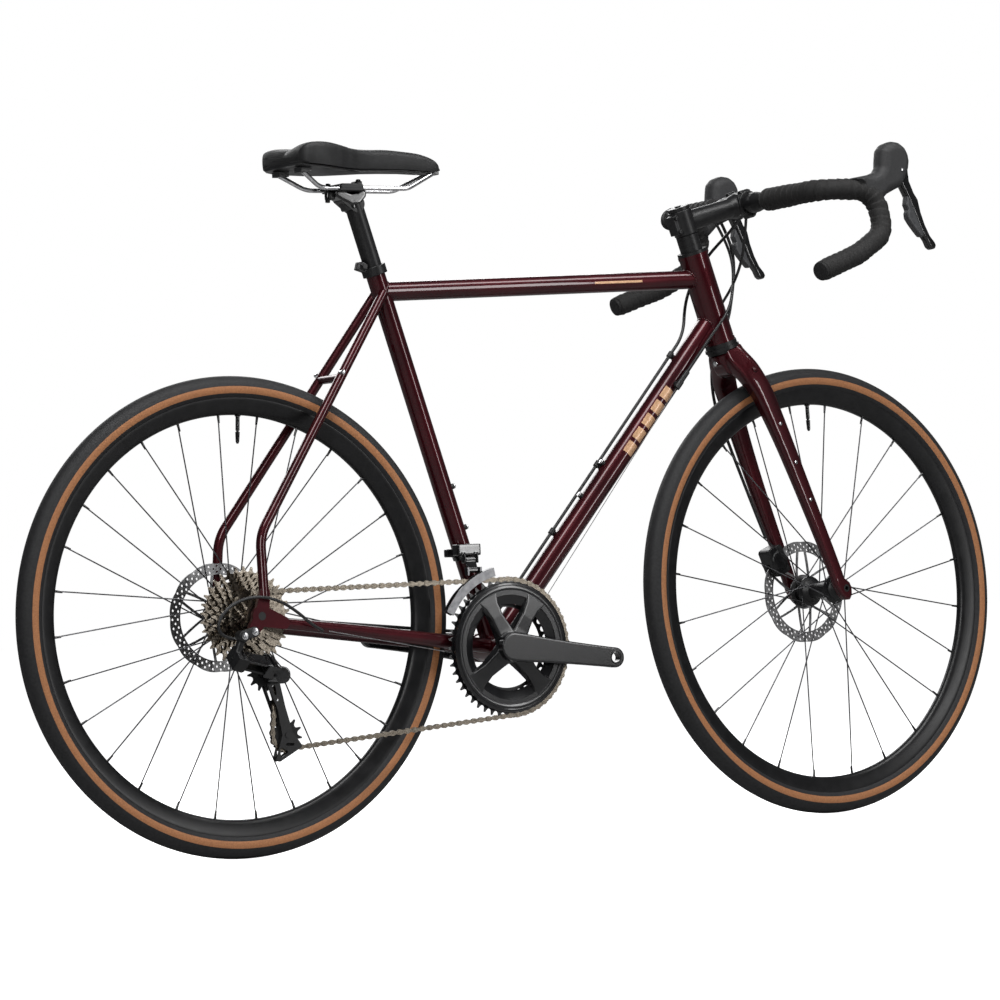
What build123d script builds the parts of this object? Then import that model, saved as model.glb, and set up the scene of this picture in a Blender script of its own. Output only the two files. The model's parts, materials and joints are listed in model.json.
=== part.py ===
from build123d import *
from math import asin, atan2, ceil, cos, degrees, floor, hypot, pi, radians, sin, tan
import os

# Road bicycle with drop bars, disc brakes and a 2 x 12 derailleur drivetrain.
# Millimetres. +X forward, +Y to the rider's left, +Z up. The origin is on the ground,
# midway between the axles, on the frame's centre plane. The bars rest turned to the left.

# ---- driving dimensions -------------------------------------------------------------
WHEELBASE = 1035.0
TYRE_RADIUS = 348.0          # 700 x 38C
TYRE_SECTION = 18.8          # half the tyre's width
BB_HEIGHT = 285.0
BB_X = -89.0
HEAD_ANGLE = 72.0
FORK_OFFSET = 42.0
SEAT_ANGLE = 72.7
STEER_REST = 5.6             # degrees that the bars rest turned to the left
CRANK_LENGTH = 172.5
CRANK_DROP = 7.7             # degrees that the right arm points below the horizontal
PITCH = 12.7                 # chain pitch
CHAIN_Y = -47.0              # plane of the chain in its present gear
COG_STEP = 3.58              # spacing of the sprockets
COGS = [11, 12, 13, 14, 15, 17, 19, 21, 24, 27, 30, 34]
COG_IN_USE = 5               # index of the 17-tooth sprocket
BIG_RING = 50
SMALL_RING = 34
PULLEY_TEETH = 11
RUN = 0.3                    # gap between bodies that move past each other

# ---- frame geometry -----------------------------------------------------------------
REAR_AXLE = (-WHEELBASE / 2, 0, TYRE_RADIUS)
FRONT_AXLE = (WHEELBASE / 2, 0, TYRE_RADIUS)
BB = (BB_X, 0, BB_HEIGHT)
TUBE_WALL = 1.0
SEAT_TUBE_R = 14.3
TOP_TUBE_R = 14.3
DOWN_TUBE_R = 16.5
HEAD_TUBE_R = 23.0
HEAD_TUBE_BORE = 21.6
STEERER_R = 14.3
POST_R = 13.6
SEAT_TUBE_TOP = 851.0        # height of the seat tube's mouth
TOP_TUBE_REAR = (-250.0, 0, 817.1)
TOP_TUBE_FRONT = (302.0, 0, 834.9)
DOWN_TUBE_TOP = (285.0, 0, 719.0)
REAR_OLD = 142.0             # over-locknut widths
FRONT_OLD = 100.0
ROTOR_R = 80.0
REAR_ROTOR_Y = 55.7
FRONT_ROTOR_Y = 39.7
AXLE_R = 6.0
DROPOUT_THICK = 7.0

# ---- steering axis: distances s along it are measured up from the front axle's level --
AXIS_DIR = (-cos(radians(HEAD_ANGLE)), 0, sin(radians(HEAD_ANGLE)))
AHEAD_DIR = (sin(radians(HEAD_ANGLE)), 0, cos(radians(HEAD_ANGLE)))
AXIS_FOOT = (FRONT_AXLE[0] - FORK_OFFSET * AHEAD_DIR[0], 0, FRONT_AXLE[2] - FORK_OFFSET * AHEAD_DIR[2])
S_CROWN = 407.8
S_HEAD_LOW = 423.7
S_HEAD_TOP = 567.3
S_SPACERS = 572.3
S_STEM = 598.0
S_STEM_TOP = 638.0
BAR_CENTRE = (406.1, 0, 952.4)

BASE = (Align.CENTER, Align.CENTER, Align.MIN)
SIDE = Rot(90, 0, 0)         # a flat drawing (x, y) becomes a side view (x, z)


def vec(point):
    return Vector(*point)


def rod(start, end, radius, bore=0.0):
    """A straight round bar from start to end, or a tube when bore is given."""
    span = vec(end) - vec(start)
    bar = Cylinder(radius, span.length, align=BASE)
    if bore:
        bar -= Cylinder(bore, span.length, align=BASE)
    return Plane(origin=vec(start), z_dir=span) * bar


def disc(x, y, z, radius, width, bore=0.0):
    """A disc or ring about an axis across the bicycle, centred on y."""
    return rod((x, y - width / 2, z), (x, y + width / 2, z), radius, bore)


def slab(face, y, width):
    """A side-view face made solid, centred on y."""
    solid = extrude(face, amount=width / 2, both=True)
    return Pos(0, y, 0) * SIDE * solid


def hull(*circles):
    """The face that wraps the given circles, each (x, z, radius)."""
    edges = ShapeList()
    for x, z, radius in circles:
        edges += (Pos(x, z) * Circle(radius)).edges()
    return make_hull(edges)


def polygon(*points):
    return make_face(Polyline(*points, close=True))


def corner_radii(points, share=0.45):
    """One arc radius for each corner, as large as the runs beside it allow."""
    radii = []
    for before, corner, after in zip(points, points[1:], points[2:]):
        run_in = vec(corner) - vec(before)
        run_out = vec(after) - vec(corner)
        half_turn = radians(run_in.get_angle(run_out)) / 2
        radii.append(share * min(run_in.length, run_out.length) / tan(half_turn))
    return radii


def bent_tube(points, radius, bore=0.0, radii=None):
    """A round tube along straight runs joined by tangent arcs."""
    path = FilletPolyline(*points, radius=radii or corner_radii(points))
    section = Circle(radius)
    if bore:
        section -= Circle(bore)
    return sweep(Plane(origin=path @ 0, z_dir=path % 0) * section, path=path)


def on_axis(s, ahead=0.0, left=0.0):
    """A point at distance s along the steering axis, then ahead and to the left of it."""
    return tuple(AXIS_FOOT[i] + s * AXIS_DIR[i] + ahead * AHEAD_DIR[i] + (left if i == 1 else 0)
                 for i in range(3))


STEER_AXIS = Axis(vec(AXIS_FOOT), vec(AXIS_DIR))


def steered(shape):
    """Turn a straight-ahead shape to the rest angle of the bars."""
    return shape.rotate(STEER_AXIS, STEER_REST)


def steered_point(point):
    """Where a straight-ahead point lies with the bars at rest."""
    arm = vec(point) - vec(AXIS_FOOT)
    along = vec(AXIS_DIR)
    turn = radians(STEER_REST)
    turned = arm * cos(turn) + along.cross(arm) * sin(turn) + along * (along.dot(arm) * (1 - cos(turn)))
    return tuple(vec(AXIS_FOOT) + turned)


def mirrored(shape):
    return mirror(shape, about=Plane.XZ)


def both_sides(shape):
    return [shape, mirrored(shape)]


def seat_axis(height):
    """The point of the seat tube's axis at a height."""
    return (BB_X - (height - BB_HEIGHT) / tan(radians(SEAT_ANGLE)), 0, height)


def save(name, *shapes):
    solids = []
    for shape in shapes:
        solids += shape.solids() if hasattr(shape, "solids") else ShapeList(shape).solids()
    export_step(solids[0] if len(solids) == 1 else Compound(children=solids), f"parts/{name}.step")
    print(name, len(solids), round(sum(s.volume for s in solids) / 1000, 1), "cm3")


# ---- frame --------------------------------------------------------------------------
def main_tubes():
    seat_line = (seat_axis(BB_HEIGHT), seat_axis(SEAT_TUBE_TOP))
    seat_solid = rod(*seat_line, SEAT_TUBE_R)
    head_solid = rod(on_axis(S_HEAD_LOW), on_axis(S_HEAD_TOP), HEAD_TUBE_R)
    shell_solid = disc(*BB, SHELL_R, SHELL_WIDTH)
    top = rod(TOP_TUBE_REAR, TOP_TUBE_FRONT, TOP_TUBE_R, TOP_TUBE_R - TUBE_WALL)
    top = top - seat_solid - head_solid
    down = rod(BB, down_point(1.12), DOWN_TUBE_R, DOWN_TUBE_R - TUBE_WALL)
    down = down - head_solid - shell_solid - seat_solid
    seat = rod(*seat_line, SEAT_TUBE_R, POST_R + 0.05) - shell_solid
    head = rod(on_axis(S_HEAD_LOW), on_axis(S_HEAD_TOP), HEAD_TUBE_R, HEAD_TUBE_BORE)
    collar_length = 5.0
    for s in (S_HEAD_LOW, S_HEAD_TOP - collar_length):
        head += rod(on_axis(s), on_axis(s + collar_length), HEAD_TUBE_R + 0.8, HEAD_TUBE_BORE)
    save("top_tube", largest(top))
    save("down_tube", largest(down))
    save("seat_tube", largest(seat))
    save("head_tube", head)


def largest(shape):
    return max(shape.solids(), key=lambda solid: solid.volume)


SHELL_R = 20.0
SHELL_WIDTH = 68.0
CUP_WIDTH = 6.5
SPINDLE_R = 12.0


def bottom_bracket():
    shell = disc(*BB, SHELL_R, SHELL_WIDTH, 17.0)
    cups = []
    for side in (-1, 1):
        y = side * (SHELL_WIDTH + CUP_WIDTH) / 2
        cups.append(disc(BB_X, y, BB_HEIGHT, 21.5, CUP_WIDTH, SPINDLE_R + 0.05))
    save("bottom_bracket", shell, *cups)


SEAT_STAY_R = 7.2
SEAT_STAY = [(-257.0, -12.8, 815.0), (-508.0, -64.0, 463.0), (-511.0, -74.2, 373.0)]
STAY_BRIDGE = ((-347.0, 689.0), 31.0)


def seat_stays():
    stay = bent_tube(SEAT_STAY, SEAT_STAY_R, SEAT_STAY_R - TUBE_WALL, radii=[66])
    stay -= rod(seat_axis(760), seat_axis(850), SEAT_TUBE_R)
    (x, z), reach = STAY_BRIDGE
    outer = [rod(*ends, SEAT_STAY_R) for ends in
             ((SEAT_STAY[0], SEAT_STAY[1]), (mirror_point(SEAT_STAY[0]), mirror_point(SEAT_STAY[1])))]
    bridge = rod((x, -reach, z), (x, reach, z), 6.0, 4.6) - outer[0] - outer[1]
    save("seat_stays", largest(stay), mirrored(largest(stay)), largest(bridge))


def mirror_point(point):
    return (point[0], -point[1], point[2])


# chain stay stations: x, y of the right stay, z, half height, half width
CHAIN_STAY = [(-106, -19, 288, 11, 8.5), (-185, -30, 298, 10.5, 8.5),
              (-330, -49, 317.5, 9.5, 8), (-478, -70, 335.5, 7.5, 6.5)]


def oval_loft(stations):
    sections = []
    for i, (x, y, z, tall, wide) in enumerate(stations):
        back = stations[max(i - 1, 0)]
        ahead = stations[min(i + 1, len(stations) - 1)]
        run = vec(ahead[:3]) - vec(back[:3])
        up = Vector(0, 0, 1)
        across = up.cross(run).normalized()
        sections.append(Plane(origin=(x, y, z), x_dir=across, z_dir=run) * Ellipse(wide, tall))
    return loft(sections)


def chain_stays():
    inner = [(x, y, z, tall - TUBE_WALL, wide - TUBE_WALL) for x, y, z, tall, wide in CHAIN_STAY]
    stay = oval_loft(CHAIN_STAY) - oval_loft(inner) - disc(*BB, SHELL_R, SHELL_WIDTH)
    bridge = rod((-150, -17.5, 293), (-150, 17.5, 293), 6.0)
    bridge = bridge - oval_loft(CHAIN_STAY) - mirrored(oval_loft(CHAIN_STAY))
    save("chain_stays", largest(stay), mirrored(largest(stay)), largest(bridge))


HANGER_BOLT = (-533.0, 326.0)
B_BOLT = (-555.5, 320.6)


def dropouts():
    x, _, z = REAR_AXLE
    plate = hull((x, z, 15), (-482, 337, 9)) + hull((x, z, 12), (-511, 382, 7.6))
    hanger = hull((x, z, 12), (*HANGER_BOLT, 8.5))
    y = REAR_OLD / 2 + DROPOUT_THICK / 2
    hole = disc(x, 0, z, AXLE_R + 0.05, 400)
    stays = rod(SEAT_STAY[1], SEAT_STAY[2], SEAT_STAY_R)
    right = slab(plate, -y, DROPOUT_THICK) + slab(hanger, -y, DROPOUT_THICK)
    left = mirrored(slab(plate, -y, DROPOUT_THICK))
    solid_stay = oval_loft(CHAIN_STAY) + stays
    save("dropouts", largest(right - hole - solid_stay), largest(left - hole - mirrored(solid_stay)))


def headset_cups():
    upper = rod(on_axis(S_HEAD_TOP), on_axis(S_SPACERS - RUN), 23.2, STEERER_R + RUN)
    lower = rod(on_axis(S_CROWN + RUN), on_axis(S_HEAD_LOW), 25.0, STEERER_R + RUN)
    skirt = rod(on_axis(S_CROWN + 4), on_axis(S_CROWN + 9), 27.0, STEERER_R + RUN)
    save("headset_cups", upper, lower + skirt)


def seat_clamp():
    bottom = seat_axis(SEAT_TUBE_TOP - 9)
    top = seat_axis(SEAT_TUBE_TOP + 4)
    band = rod(bottom, top, 18.5, SEAT_TUBE_R)
    lip = rod(seat_axis(SEAT_TUBE_TOP), top, SEAT_TUBE_R + 0.1, POST_R + RUN)
    mid = seat_axis(SEAT_TUBE_TOP - 2.5)
    ears = Pos(mid[0] - 21, 0, mid[2] + 5) * Rot(0, 17.3, 0) * Box(14, 18, 12)
    ears -= rod(bottom, seat_axis(SEAT_TUBE_TOP + 30), 17.5)
    slit = Pos(mid[0] - 21, 0, mid[2] + 5) * Rot(0, 17.3, 0) * Box(20, 1.6, 20)
    bolt = rod((mid[0] - 22.5, -12.5, mid[2] + 5.2), (mid[0] - 22.5, 10.5, mid[2] + 5.2), 2.6)
    head = rod((mid[0] - 22.5, -14, mid[2] + 5.2), (mid[0] - 22.5, -9.5, mid[2] + 5.2), 4.6)
    collar = (band + lip + ears) - slit - bolt - head
    save("seat_clamp", *collar.solids(), bolt + head)


# ---- fittings on the frame ----------------------------------------------------------
DOWN_DIR = (vec(DOWN_TUBE_TOP) - vec(BB)).normalized()
DOWN_UP = Vector(-DOWN_DIR.Z, 0, DOWN_DIR.X)      # square to the down tube, towards the saddle
HOSE_R = 2.5
HOUSING_R = 2.25
STOP_AT = 0.9          # how far up the down tube the housing stops sit


def down_point(t, out=0.0, left=0.0):
    """A point t of the way up the down tube, then out above it and to the left."""
    return tuple(vec(BB) + (vec(DOWN_TUBE_TOP) - vec(BB)) * t + DOWN_UP * out + Vector(0, left, 0))


BOTTLE_BOSSES = [(0.45, 1), (0.45 + 0.1127, 1)]


def frame_fittings():
    pieces = []
    for t in (0.14, 0.36, 0.59, 0.97):                  # hose clips on the down tube
        clip = rod(down_point(t, DOWN_TUBE_R - 4, 8), down_point(t, DOWN_TUBE_R + 1.9, 8), 4.0)
        clip -= rod(BB, down_point(1.12), DOWN_TUBE_R)
        guide = rod(down_point(t - 0.008, DOWN_TUBE_R + 4.6, 8), down_point(t + 0.008, DOWN_TUBE_R + 4.6, 8),
                    4.4, HOSE_R + 0.1)
        pieces.append(clip + guide)
    for side in (-1, 1):                                # housing stops and barrel adjusters
        y = side * 21.5
        stop = rod(down_point(STOP_AT - 0.012, -5, y), down_point(STOP_AT + 0.012, -5, y), 5.2, 1.2)
        foot = rod(down_point(STOP_AT, -2.5, side * 12), down_point(STOP_AT, -5, side * 19), 5.0)
        foot -= rod(BB, down_point(1.12), DOWN_TUBE_R)
        barrel = rod(down_point(STOP_AT + 0.0125, -5, y), down_point(STOP_AT + 0.045, -5, y), 4.4, HOUSING_R + 0.1)
        pieces += [largest(stop + foot), barrel]
    for t in (0.485, 0.597):                            # bottle bosses on the down tube
        pieces.append(rod(down_point(t, DOWN_TUBE_R), down_point(t, DOWN_TUBE_R + 4.5), 4.2))
    for height in (461, 522):                           # bottle bosses on the seat tube
        x, _, z = seat_axis(height)
        lean = radians(SEAT_ANGLE)
        start = (x + SEAT_TUBE_R * sin(lean), 0, z + SEAT_TUBE_R * cos(lean))
        end = (x + (SEAT_TUBE_R + 4.5) * sin(lean), 0, z + (SEAT_TUBE_R + 4.5) * cos(lean))
        pieces.append(rod(start, end, 4.2))
    guide = Pos(BB_X, -2, BB_HEIGHT - SHELL_R - 3) * Box(22, 26, 6) - disc(*BB, SHELL_R, SHELL_WIDTH)
    pieces.append(largest(guide))
    save("frame_fittings", *pieces)


# Cord routes, chosen by hand, with the bars at rest.
REAR_HOSE = [(359, -56, 929), (352, -36, 908), (351, -8, 894), (344, 22, 872), (322, 31, 838),
             (303, 29, 800)]
RIGHT_HOUSING = [(366, -57, 926), (368, -48, 893), (374, -26, 856), (374, 4, 820), (356, 27, 782),
                 (326, 30, 745)]
LEFT_HOUSING = [(386, 57, 930), (396, 44, 898), (389, 18, 862), (370, -8, 824), (346, -29, 785),
                (315, -30, 752)]
FRONT_HOSE = [(397, 57, 929), (414, 56, 896), (414, 50, 858), (404, 45, 815), (392, 43, 770)]
FRONT_HOSE_LEG = [(368, 48, 718), (366, 51, 652), (394, 55, 590), (454, 55, 456), (455, 49, 434)]
REAR_LOOP = [(-420, -79, 323), (-438, -80, 332), (-461, -82, 351), (-492, -86, 369), (-528, -90, 377),
             (-562, -93, 372), (-588, -94, 356), (-600, -95, 336), (-590, -94, 321), (-572, -92, 318)]


def rear_brake_hose():
    along_tube = [down_point(t, DOWN_TUBE_R + 4.6, 8) for t in (1.04, 0.10)]
    beside_stay = [(-92, 24, 321), (-122, 26, 310), (-186, 32, 317), (-452, 66.5, 346), (-462, 61, 364)]
    return REAR_HOSE + along_tube + beside_stay


def cords():
    hose = bent_tube(rear_brake_hose(), HOSE_R)
    save("rear_brake_hose", hose)
    leg = [steered_point(point) for point in FRONT_HOSE_LEG]
    save("front_brake_hose", bent_tube(FRONT_HOSE + leg, HOSE_R))
    pieces = []
    for route, side in ((RIGHT_HOUSING, 1), (LEFT_HOUSING, -1)):
        end = down_point(STOP_AT + 0.046, -5, side * 21.5)
        pieces.append(bent_tube(route + [end], HOUSING_R))
        wire = [down_point(STOP_AT - 0.013, -5, side * 21.5), (BB_X + 16, side * 7, BB_HEIGHT - SHELL_R - 4)]
        pieces.append(rod(wire[0], wire[1], 0.7))
    pieces.append(bent_tube(REAR_LOOP, HOUSING_R))
    pieces.append(bent_tube([(-108, -10, 262), (-150, -30, 277), (-200, -46, 284), (-410, -79, 322)], 0.7,
                            radii=[60, 60]))
    save("shift_cables", *pieces)


# ---- brakes -------------------------------------------------------------------------
def caliper(centre, lean, axle, rotor_y, inner, outer):
    """A flat-mount caliper: its body straddles the rotor, with a pad on each side of it."""
    x, z = centre
    block = Pos(x, (inner + outer) / 2, z) * Rot(0, lean, 0) * Box(30, outer - inner, 46)
    block = fillet(block.edges().filter_by(Axis.Y), 6)
    bulge = disc(x, (inner + outer) / 2, z, 14, outer - inner + 5)
    slot_half = 4.0
    slot = disc(axle[0], rotor_y, axle[2], ROTOR_R + 2.5, 2 * slot_half)
    body = block + bulge - slot
    pads = []
    for side in (-1, 1):
        pad_y = rotor_y + side * 2.6
        pad = disc(x + 0, pad_y, z, 11, 2.4) & disc(axle[0], rotor_y, axle[2], ROTOR_R - 1, 40)
        pads.append(largest(pad))
    return body.solids() + ShapeList(pads)


def brakes():
    front = caliper((461, 398), -22, FRONT_AXLE, FRONT_ROTOR_Y, 26, 53)
    save("front_caliper", *[steered(piece) for piece in front])
    rear = caliper((-468, 388), 78, REAR_AXLE, REAR_ROTOR_Y, 40, 70)
    save("rear_caliper", *rear)


def rotor(axle, y):
    """A brake rotor: a drilled braking ring with a waved edge, on six curved arms."""
    waves = 12
    outline = []
    for k in range(waves):
        a, b, c = (2 * pi * (k + step) / waves for step in (0, 0.5, 1))
        low, high = ROTOR_R - 1.6, ROTOR_R
        outline.append(ThreePointArc((low * cos(a), low * sin(a)), (high * cos(b), high * sin(b)),
                                     (low * cos(c), low * sin(c))))
    band_in = 63.0
    face = make_face(outline) - Circle(band_in)
    holes = Sketch()
    count = 36
    for radius, shift in ((75.3, 0.0), (70.9, 0.5), (66.6, 0.0)):
        for k in range(count):
            a = 2 * pi * (k + shift) / count
            holes += Pos(radius * cos(a), radius * sin(a)) * Circle(1.75)
    face -= holes
    arms = 6
    for k in range(arms):
        a = 2 * pi * k / arms
        for bend in (-1, 1):
            mid = a + bend * 0.30
            end = a + bend * 0.16
            spine = ThreePointArc((24 * cos(a), 24 * sin(a)), (46 * cos(mid), 46 * sin(mid)),
                                  (65 * cos(end + bend * 0.25), 65 * sin(end + bend * 0.25)))
            face += trace(spine, line_width=3.6)
    face += Circle(27) - Circle(18.5)
    plate = extrude(face, amount=0.9, both=True)
    carrier = Cylinder(22, 5, align=(Align.CENTER,) * 3) - Cylinder(17, 8, align=(Align.CENTER,) * 3)
    carrier = Pos(0, 0, -3.4) * carrier
    turned = Pos(axle[0], y, axle[2]) * SIDE * (plate + carrier)
    return largest(turned)


# ---- wheels -------------------------------------------------------------------------
RIM_NOSE = 291.3
TYRE_CENTRE = TYRE_RADIUS - TYRE_SECTION


def tyre():
    section = Circle(TYRE_SECTION) - Circle(TYRE_SECTION - 2.6)
    section = Pos(TYRE_CENTRE, 0) * section
    section -= Pos(305, 0) * Rectangle(15, 60)
    section -= Pos(314, 0) * Rectangle(12, 19)
    for side in (-1, 1):
        section -= Pos(310.05, side * 21.6) * Rectangle(14, 20)
    section = make_face(section.faces().sort_by(SortBy.AREA)[-1].outer_wire())
    return revolve(section, axis=Axis.Y)


def rim():
    outer = make_face([
        Line((298.5, 8.5), (317, 13.6)), Line((317, 13.6), (317, 11.7)), Line((317, 11.7), (311.5, 11.5)),
        Line((311.5, 11.5), (309.6, 9.0)), Line((309.6, 9.0), (309.6, -9.0)), Line((309.6, -9.0), (311.5, -11.5)),
        Line((311.5, -11.5), (317, -11.7)), Line((317, -11.7), (317, -13.6)), Line((317, -13.6), (298.5, -8.5)),
        ThreePointArc((298.5, -8.5), (RIM_NOSE, 0), (298.5, 8.5))])
    hollow = make_face([
        Line((299.4, 7.0), (307.9, 9.6)), Line((307.9, 9.6), (307.9, -9.6)), Line((307.9, -9.6), (299.4, -7.0)),
        ThreePointArc((299.4, -7.0), (RIM_NOSE + 2, 0), (299.4, 7.0))])
    return revolve(outer - hollow, axis=Axis.Y)


def place_wheel(shape, axle):
    return Pos(*axle) * shape


def spokes(count, flange_y, flange_r, valve_angle, crosses=2):
    """Spokes laced both ways from two flanges, with the valve between two of them."""
    per_side = count // 2
    pieces = []
    for k in range(count):
        side = -1 if k % 2 == 0 else 1
        rim_angle = valve_angle + 2 * pi * (k + 0.5) / count
        pair = (k // 2) % 2
        lead = 1 if pair == 0 else -1
        hub_angle = rim_angle + lead * 2 * pi * crosses / per_side
        y_hub = flange_y[side] + (1.7 if pair == 0 else -1.7) * side
        r_hub = flange_r[side]
        start = (r_hub * cos(hub_angle), y_hub, r_hub * sin(hub_angle))
        end = ((RIM_NOSE + 1.2) * cos(rim_angle), side * 1.5, (RIM_NOSE + 1.2) * sin(rim_angle))
        pieces.append(rod(start, end, 1.0))
    return pieces


def turned_hub(profile, bore):
    """A hub shell from half-profile points (y, radius)."""
    points = [(radius, y) for y, radius in profile]
    points = [(bore, profile[0][0])] + points + [(bore, profile[-1][0])]
    return revolve(polygon(*points), axis=Axis.Y)


FRONT_FLANGES = {-1: -35.0, 1: 24.0}
FRONT_FLANGE_R = {-1: 19.0, 1: 20.0}
REAR_FLANGES = {-1: -19.0, 1: 33.5}
REAR_FLANGE_R = {-1: 23.0, 1: 21.0}
FRONT_VALVE = atan2(288.0, -2.7)
REAR_VALVE = atan2(287.0, 15.2)


def flange(y, radius):
    return [(y - 3.2, radius - 2), (y - 1.6, radius + 3.2), (y + 1.6, radius + 3.2), (y + 3.2, radius - 2)]


def wheels():
    bore = AXLE_R + 0.06
    front_profile = ([(-46, 10), (-42, 15), (-39.6, 17)] + flange(FRONT_FLANGES[-1], FRONT_FLANGE_R[-1])
                     + [(-28, 12.5), (14, 12)] + flange(FRONT_FLANGES[1], FRONT_FLANGE_R[1])
                     + [(29, 16.6), (46, 16.6), (47, 10)])
    rear_profile = ([(-24, 15)] + flange(REAR_FLANGES[-1], REAR_FLANGE_R[-1])
                    + [(-12, 14), (24, 13.5)] + flange(REAR_FLANGES[1], REAR_FLANGE_R[1])
                    + [(40, 16.6), (60, 16.6), (62, 11)])
    front = {"front_tyre": [tyre()], "front_rim": [rim()],
             "front_spokes": spokes(24, FRONT_FLANGES, FRONT_FLANGE_R, FRONT_VALVE),
             "front_hub": [turned_hub(front_profile, bore)]}
    for name, pieces in front.items():
        save(name, *[steered(place_wheel(piece, FRONT_AXLE)) for piece in pieces])
    rear = {"rear_tyre": [tyre()], "rear_rim": [rim()],
            "rear_spokes": spokes(28, REAR_FLANGES, REAR_FLANGE_R, REAR_VALVE),
            "rear_hub": [turned_hub(rear_profile, bore)]}
    for name, pieces in rear.items():
        save(name, *[place_wheel(piece, REAR_AXLE) for piece in pieces])
    save("front_rotor", steered(rotor(FRONT_AXLE, FRONT_ROTOR_Y)))
    save("rear_rotor", rotor(REAR_AXLE, REAR_ROTOR_Y))


def thru_axles():
    x, _, z = REAR_AXLE
    cap_gap = 0.05
    rear = disc(x, 0, z, AXLE_R, REAR_OLD + 2 * DROPOUT_THICK)
    rear += rod((x, 62.4, z), (x, REAR_OLD / 2 - cap_gap, z), 10)
    rear += rod((x, -67.6, z), (x, -REAR_OLD / 2 + cap_gap, z), 10)
    head_y = REAR_OLD / 2 + DROPOUT_THICK
    rear += rod((x, head_y + cap_gap, z), (x, head_y + 5, z), 9)
    rear -= rod((x, head_y + 1, z), (x, head_y + 6, z), 3.2)
    save("rear_thru_axle", rear)
    x, _, z = FRONT_AXLE
    outer = FRONT_OLD / 2 + FORK_LEG_THICK
    front = disc(x, 0, z, AXLE_R, 2 * outer - 1)
    front += rod((x, 47.4, z), (x, FRONT_OLD / 2 - cap_gap, z), 10)
    front += rod((x, -FRONT_OLD / 2 + cap_gap, z), (x, -46.4, z), 10)
    front += rod((x, outer + cap_gap, z), (x, outer + 4, z), 9)
    front -= rod((x, -outer - 1, z), (x, -outer + 8, z), 3.2)
    save("front_thru_axle", steered(front))


# ---- fork and cockpit ---------------------------------------------------------------
FORK_LEG_THICK = 14.0
# right fork blade stations: x, y, z, half depth, half thickness
FORK_BLADE = [(356, -9, 716, 19, 18), (371.5, -25, 694, 20, 15), (391, -40, 655, 18.5, 12),
              (415.5, -47.5, 592, 15.5, 9.5), (446, -52.5, 515, 13.5, 8.5), (484, -56, 422, 12, 7.4),
              (509, -57, 352, 11.3, 7)]


def fork_blade():
    sections = []
    last = len(FORK_BLADE) - 1
    for i, (x, y, z, deep, thick) in enumerate(FORK_BLADE):
        back = FORK_BLADE[max(i - 1, 0)]
        ahead = FORK_BLADE[min(i + 1, last)]
        run = vec(ahead[:3]) - vec(back[:3])
        if i == last:
            run = vec((7, 0, -22))
        across = Vector(0, 1, 0).cross(run).normalized()
        section = RectangleRounded(2 * deep, 2 * thick, thick * 0.62)
        sections.append(Plane(origin=(x, y, z), x_dir=across, z_dir=run) * section)
    blade = loft(sections)
    tip = slab(hull((509, 352, 10.5), (517.5, 348, 10.5), (521, 332, 8.5)), -57, FORK_LEG_THICK)
    return blade + tip


def fork():
    blade = fork_blade()
    crown = rod(on_axis(S_CROWN - 16), on_axis(S_CROWN), 21.5)
    steerer = rod(on_axis(S_CROWN - 10), on_axis(S_STEM_TOP - 2), STEERER_R)
    race = rod(on_axis(S_CROWN - 6), on_axis(S_CROWN - 1), 25)
    body = blade + mirrored(blade) + crown + race - rod(on_axis(S_CROWN), on_axis(S_CROWN + 60), 70)
    clearance = disc(*FRONT_AXLE, TYRE_RADIUS + 7, 54)
    axle_hole = disc(*FRONT_AXLE, AXLE_R + 0.05, 300)
    outer = FRONT_OLD / 2 + FORK_LEG_THICK
    between = disc(*FRONT_AXLE, 11, FRONT_OLD)
    beyond = disc(*FRONT_AXLE, 11, 2 * outer + 40) - disc(*FRONT_AXLE, 12, 2 * outer)
    body = body - clearance - axle_hole - between - beyond
    body += steerer - rod(on_axis(S_CROWN - 40), on_axis(S_STEM_TOP), STEERER_R - 2)
    save("fork", steered(largest(body)))


def spacers():
    pieces = []
    heights = [S_SPACERS, S_SPACERS + 10.2, S_SPACERS + 20.4, S_STEM]
    for low, high in zip(heights, heights[1:]):
        pieces.append(rod(on_axis(low), on_axis(high - 0.2), 17.2, STEERER_R + 0.05))
    cap = rod(on_axis(S_STEM_TOP + 0.1), on_axis(S_STEM_TOP + 5), 17.5)
    bolt = rod(on_axis(S_STEM_TOP + 5), on_axis(S_STEM_TOP + 7), 5)
    save("headset_spacers", *[steered(piece) for piece in pieces + [cap + bolt]])


BAR_R = 11.9
BAR_BULGE_R = 15.9
STEM_CLAMP_HALF = 22.0


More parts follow.
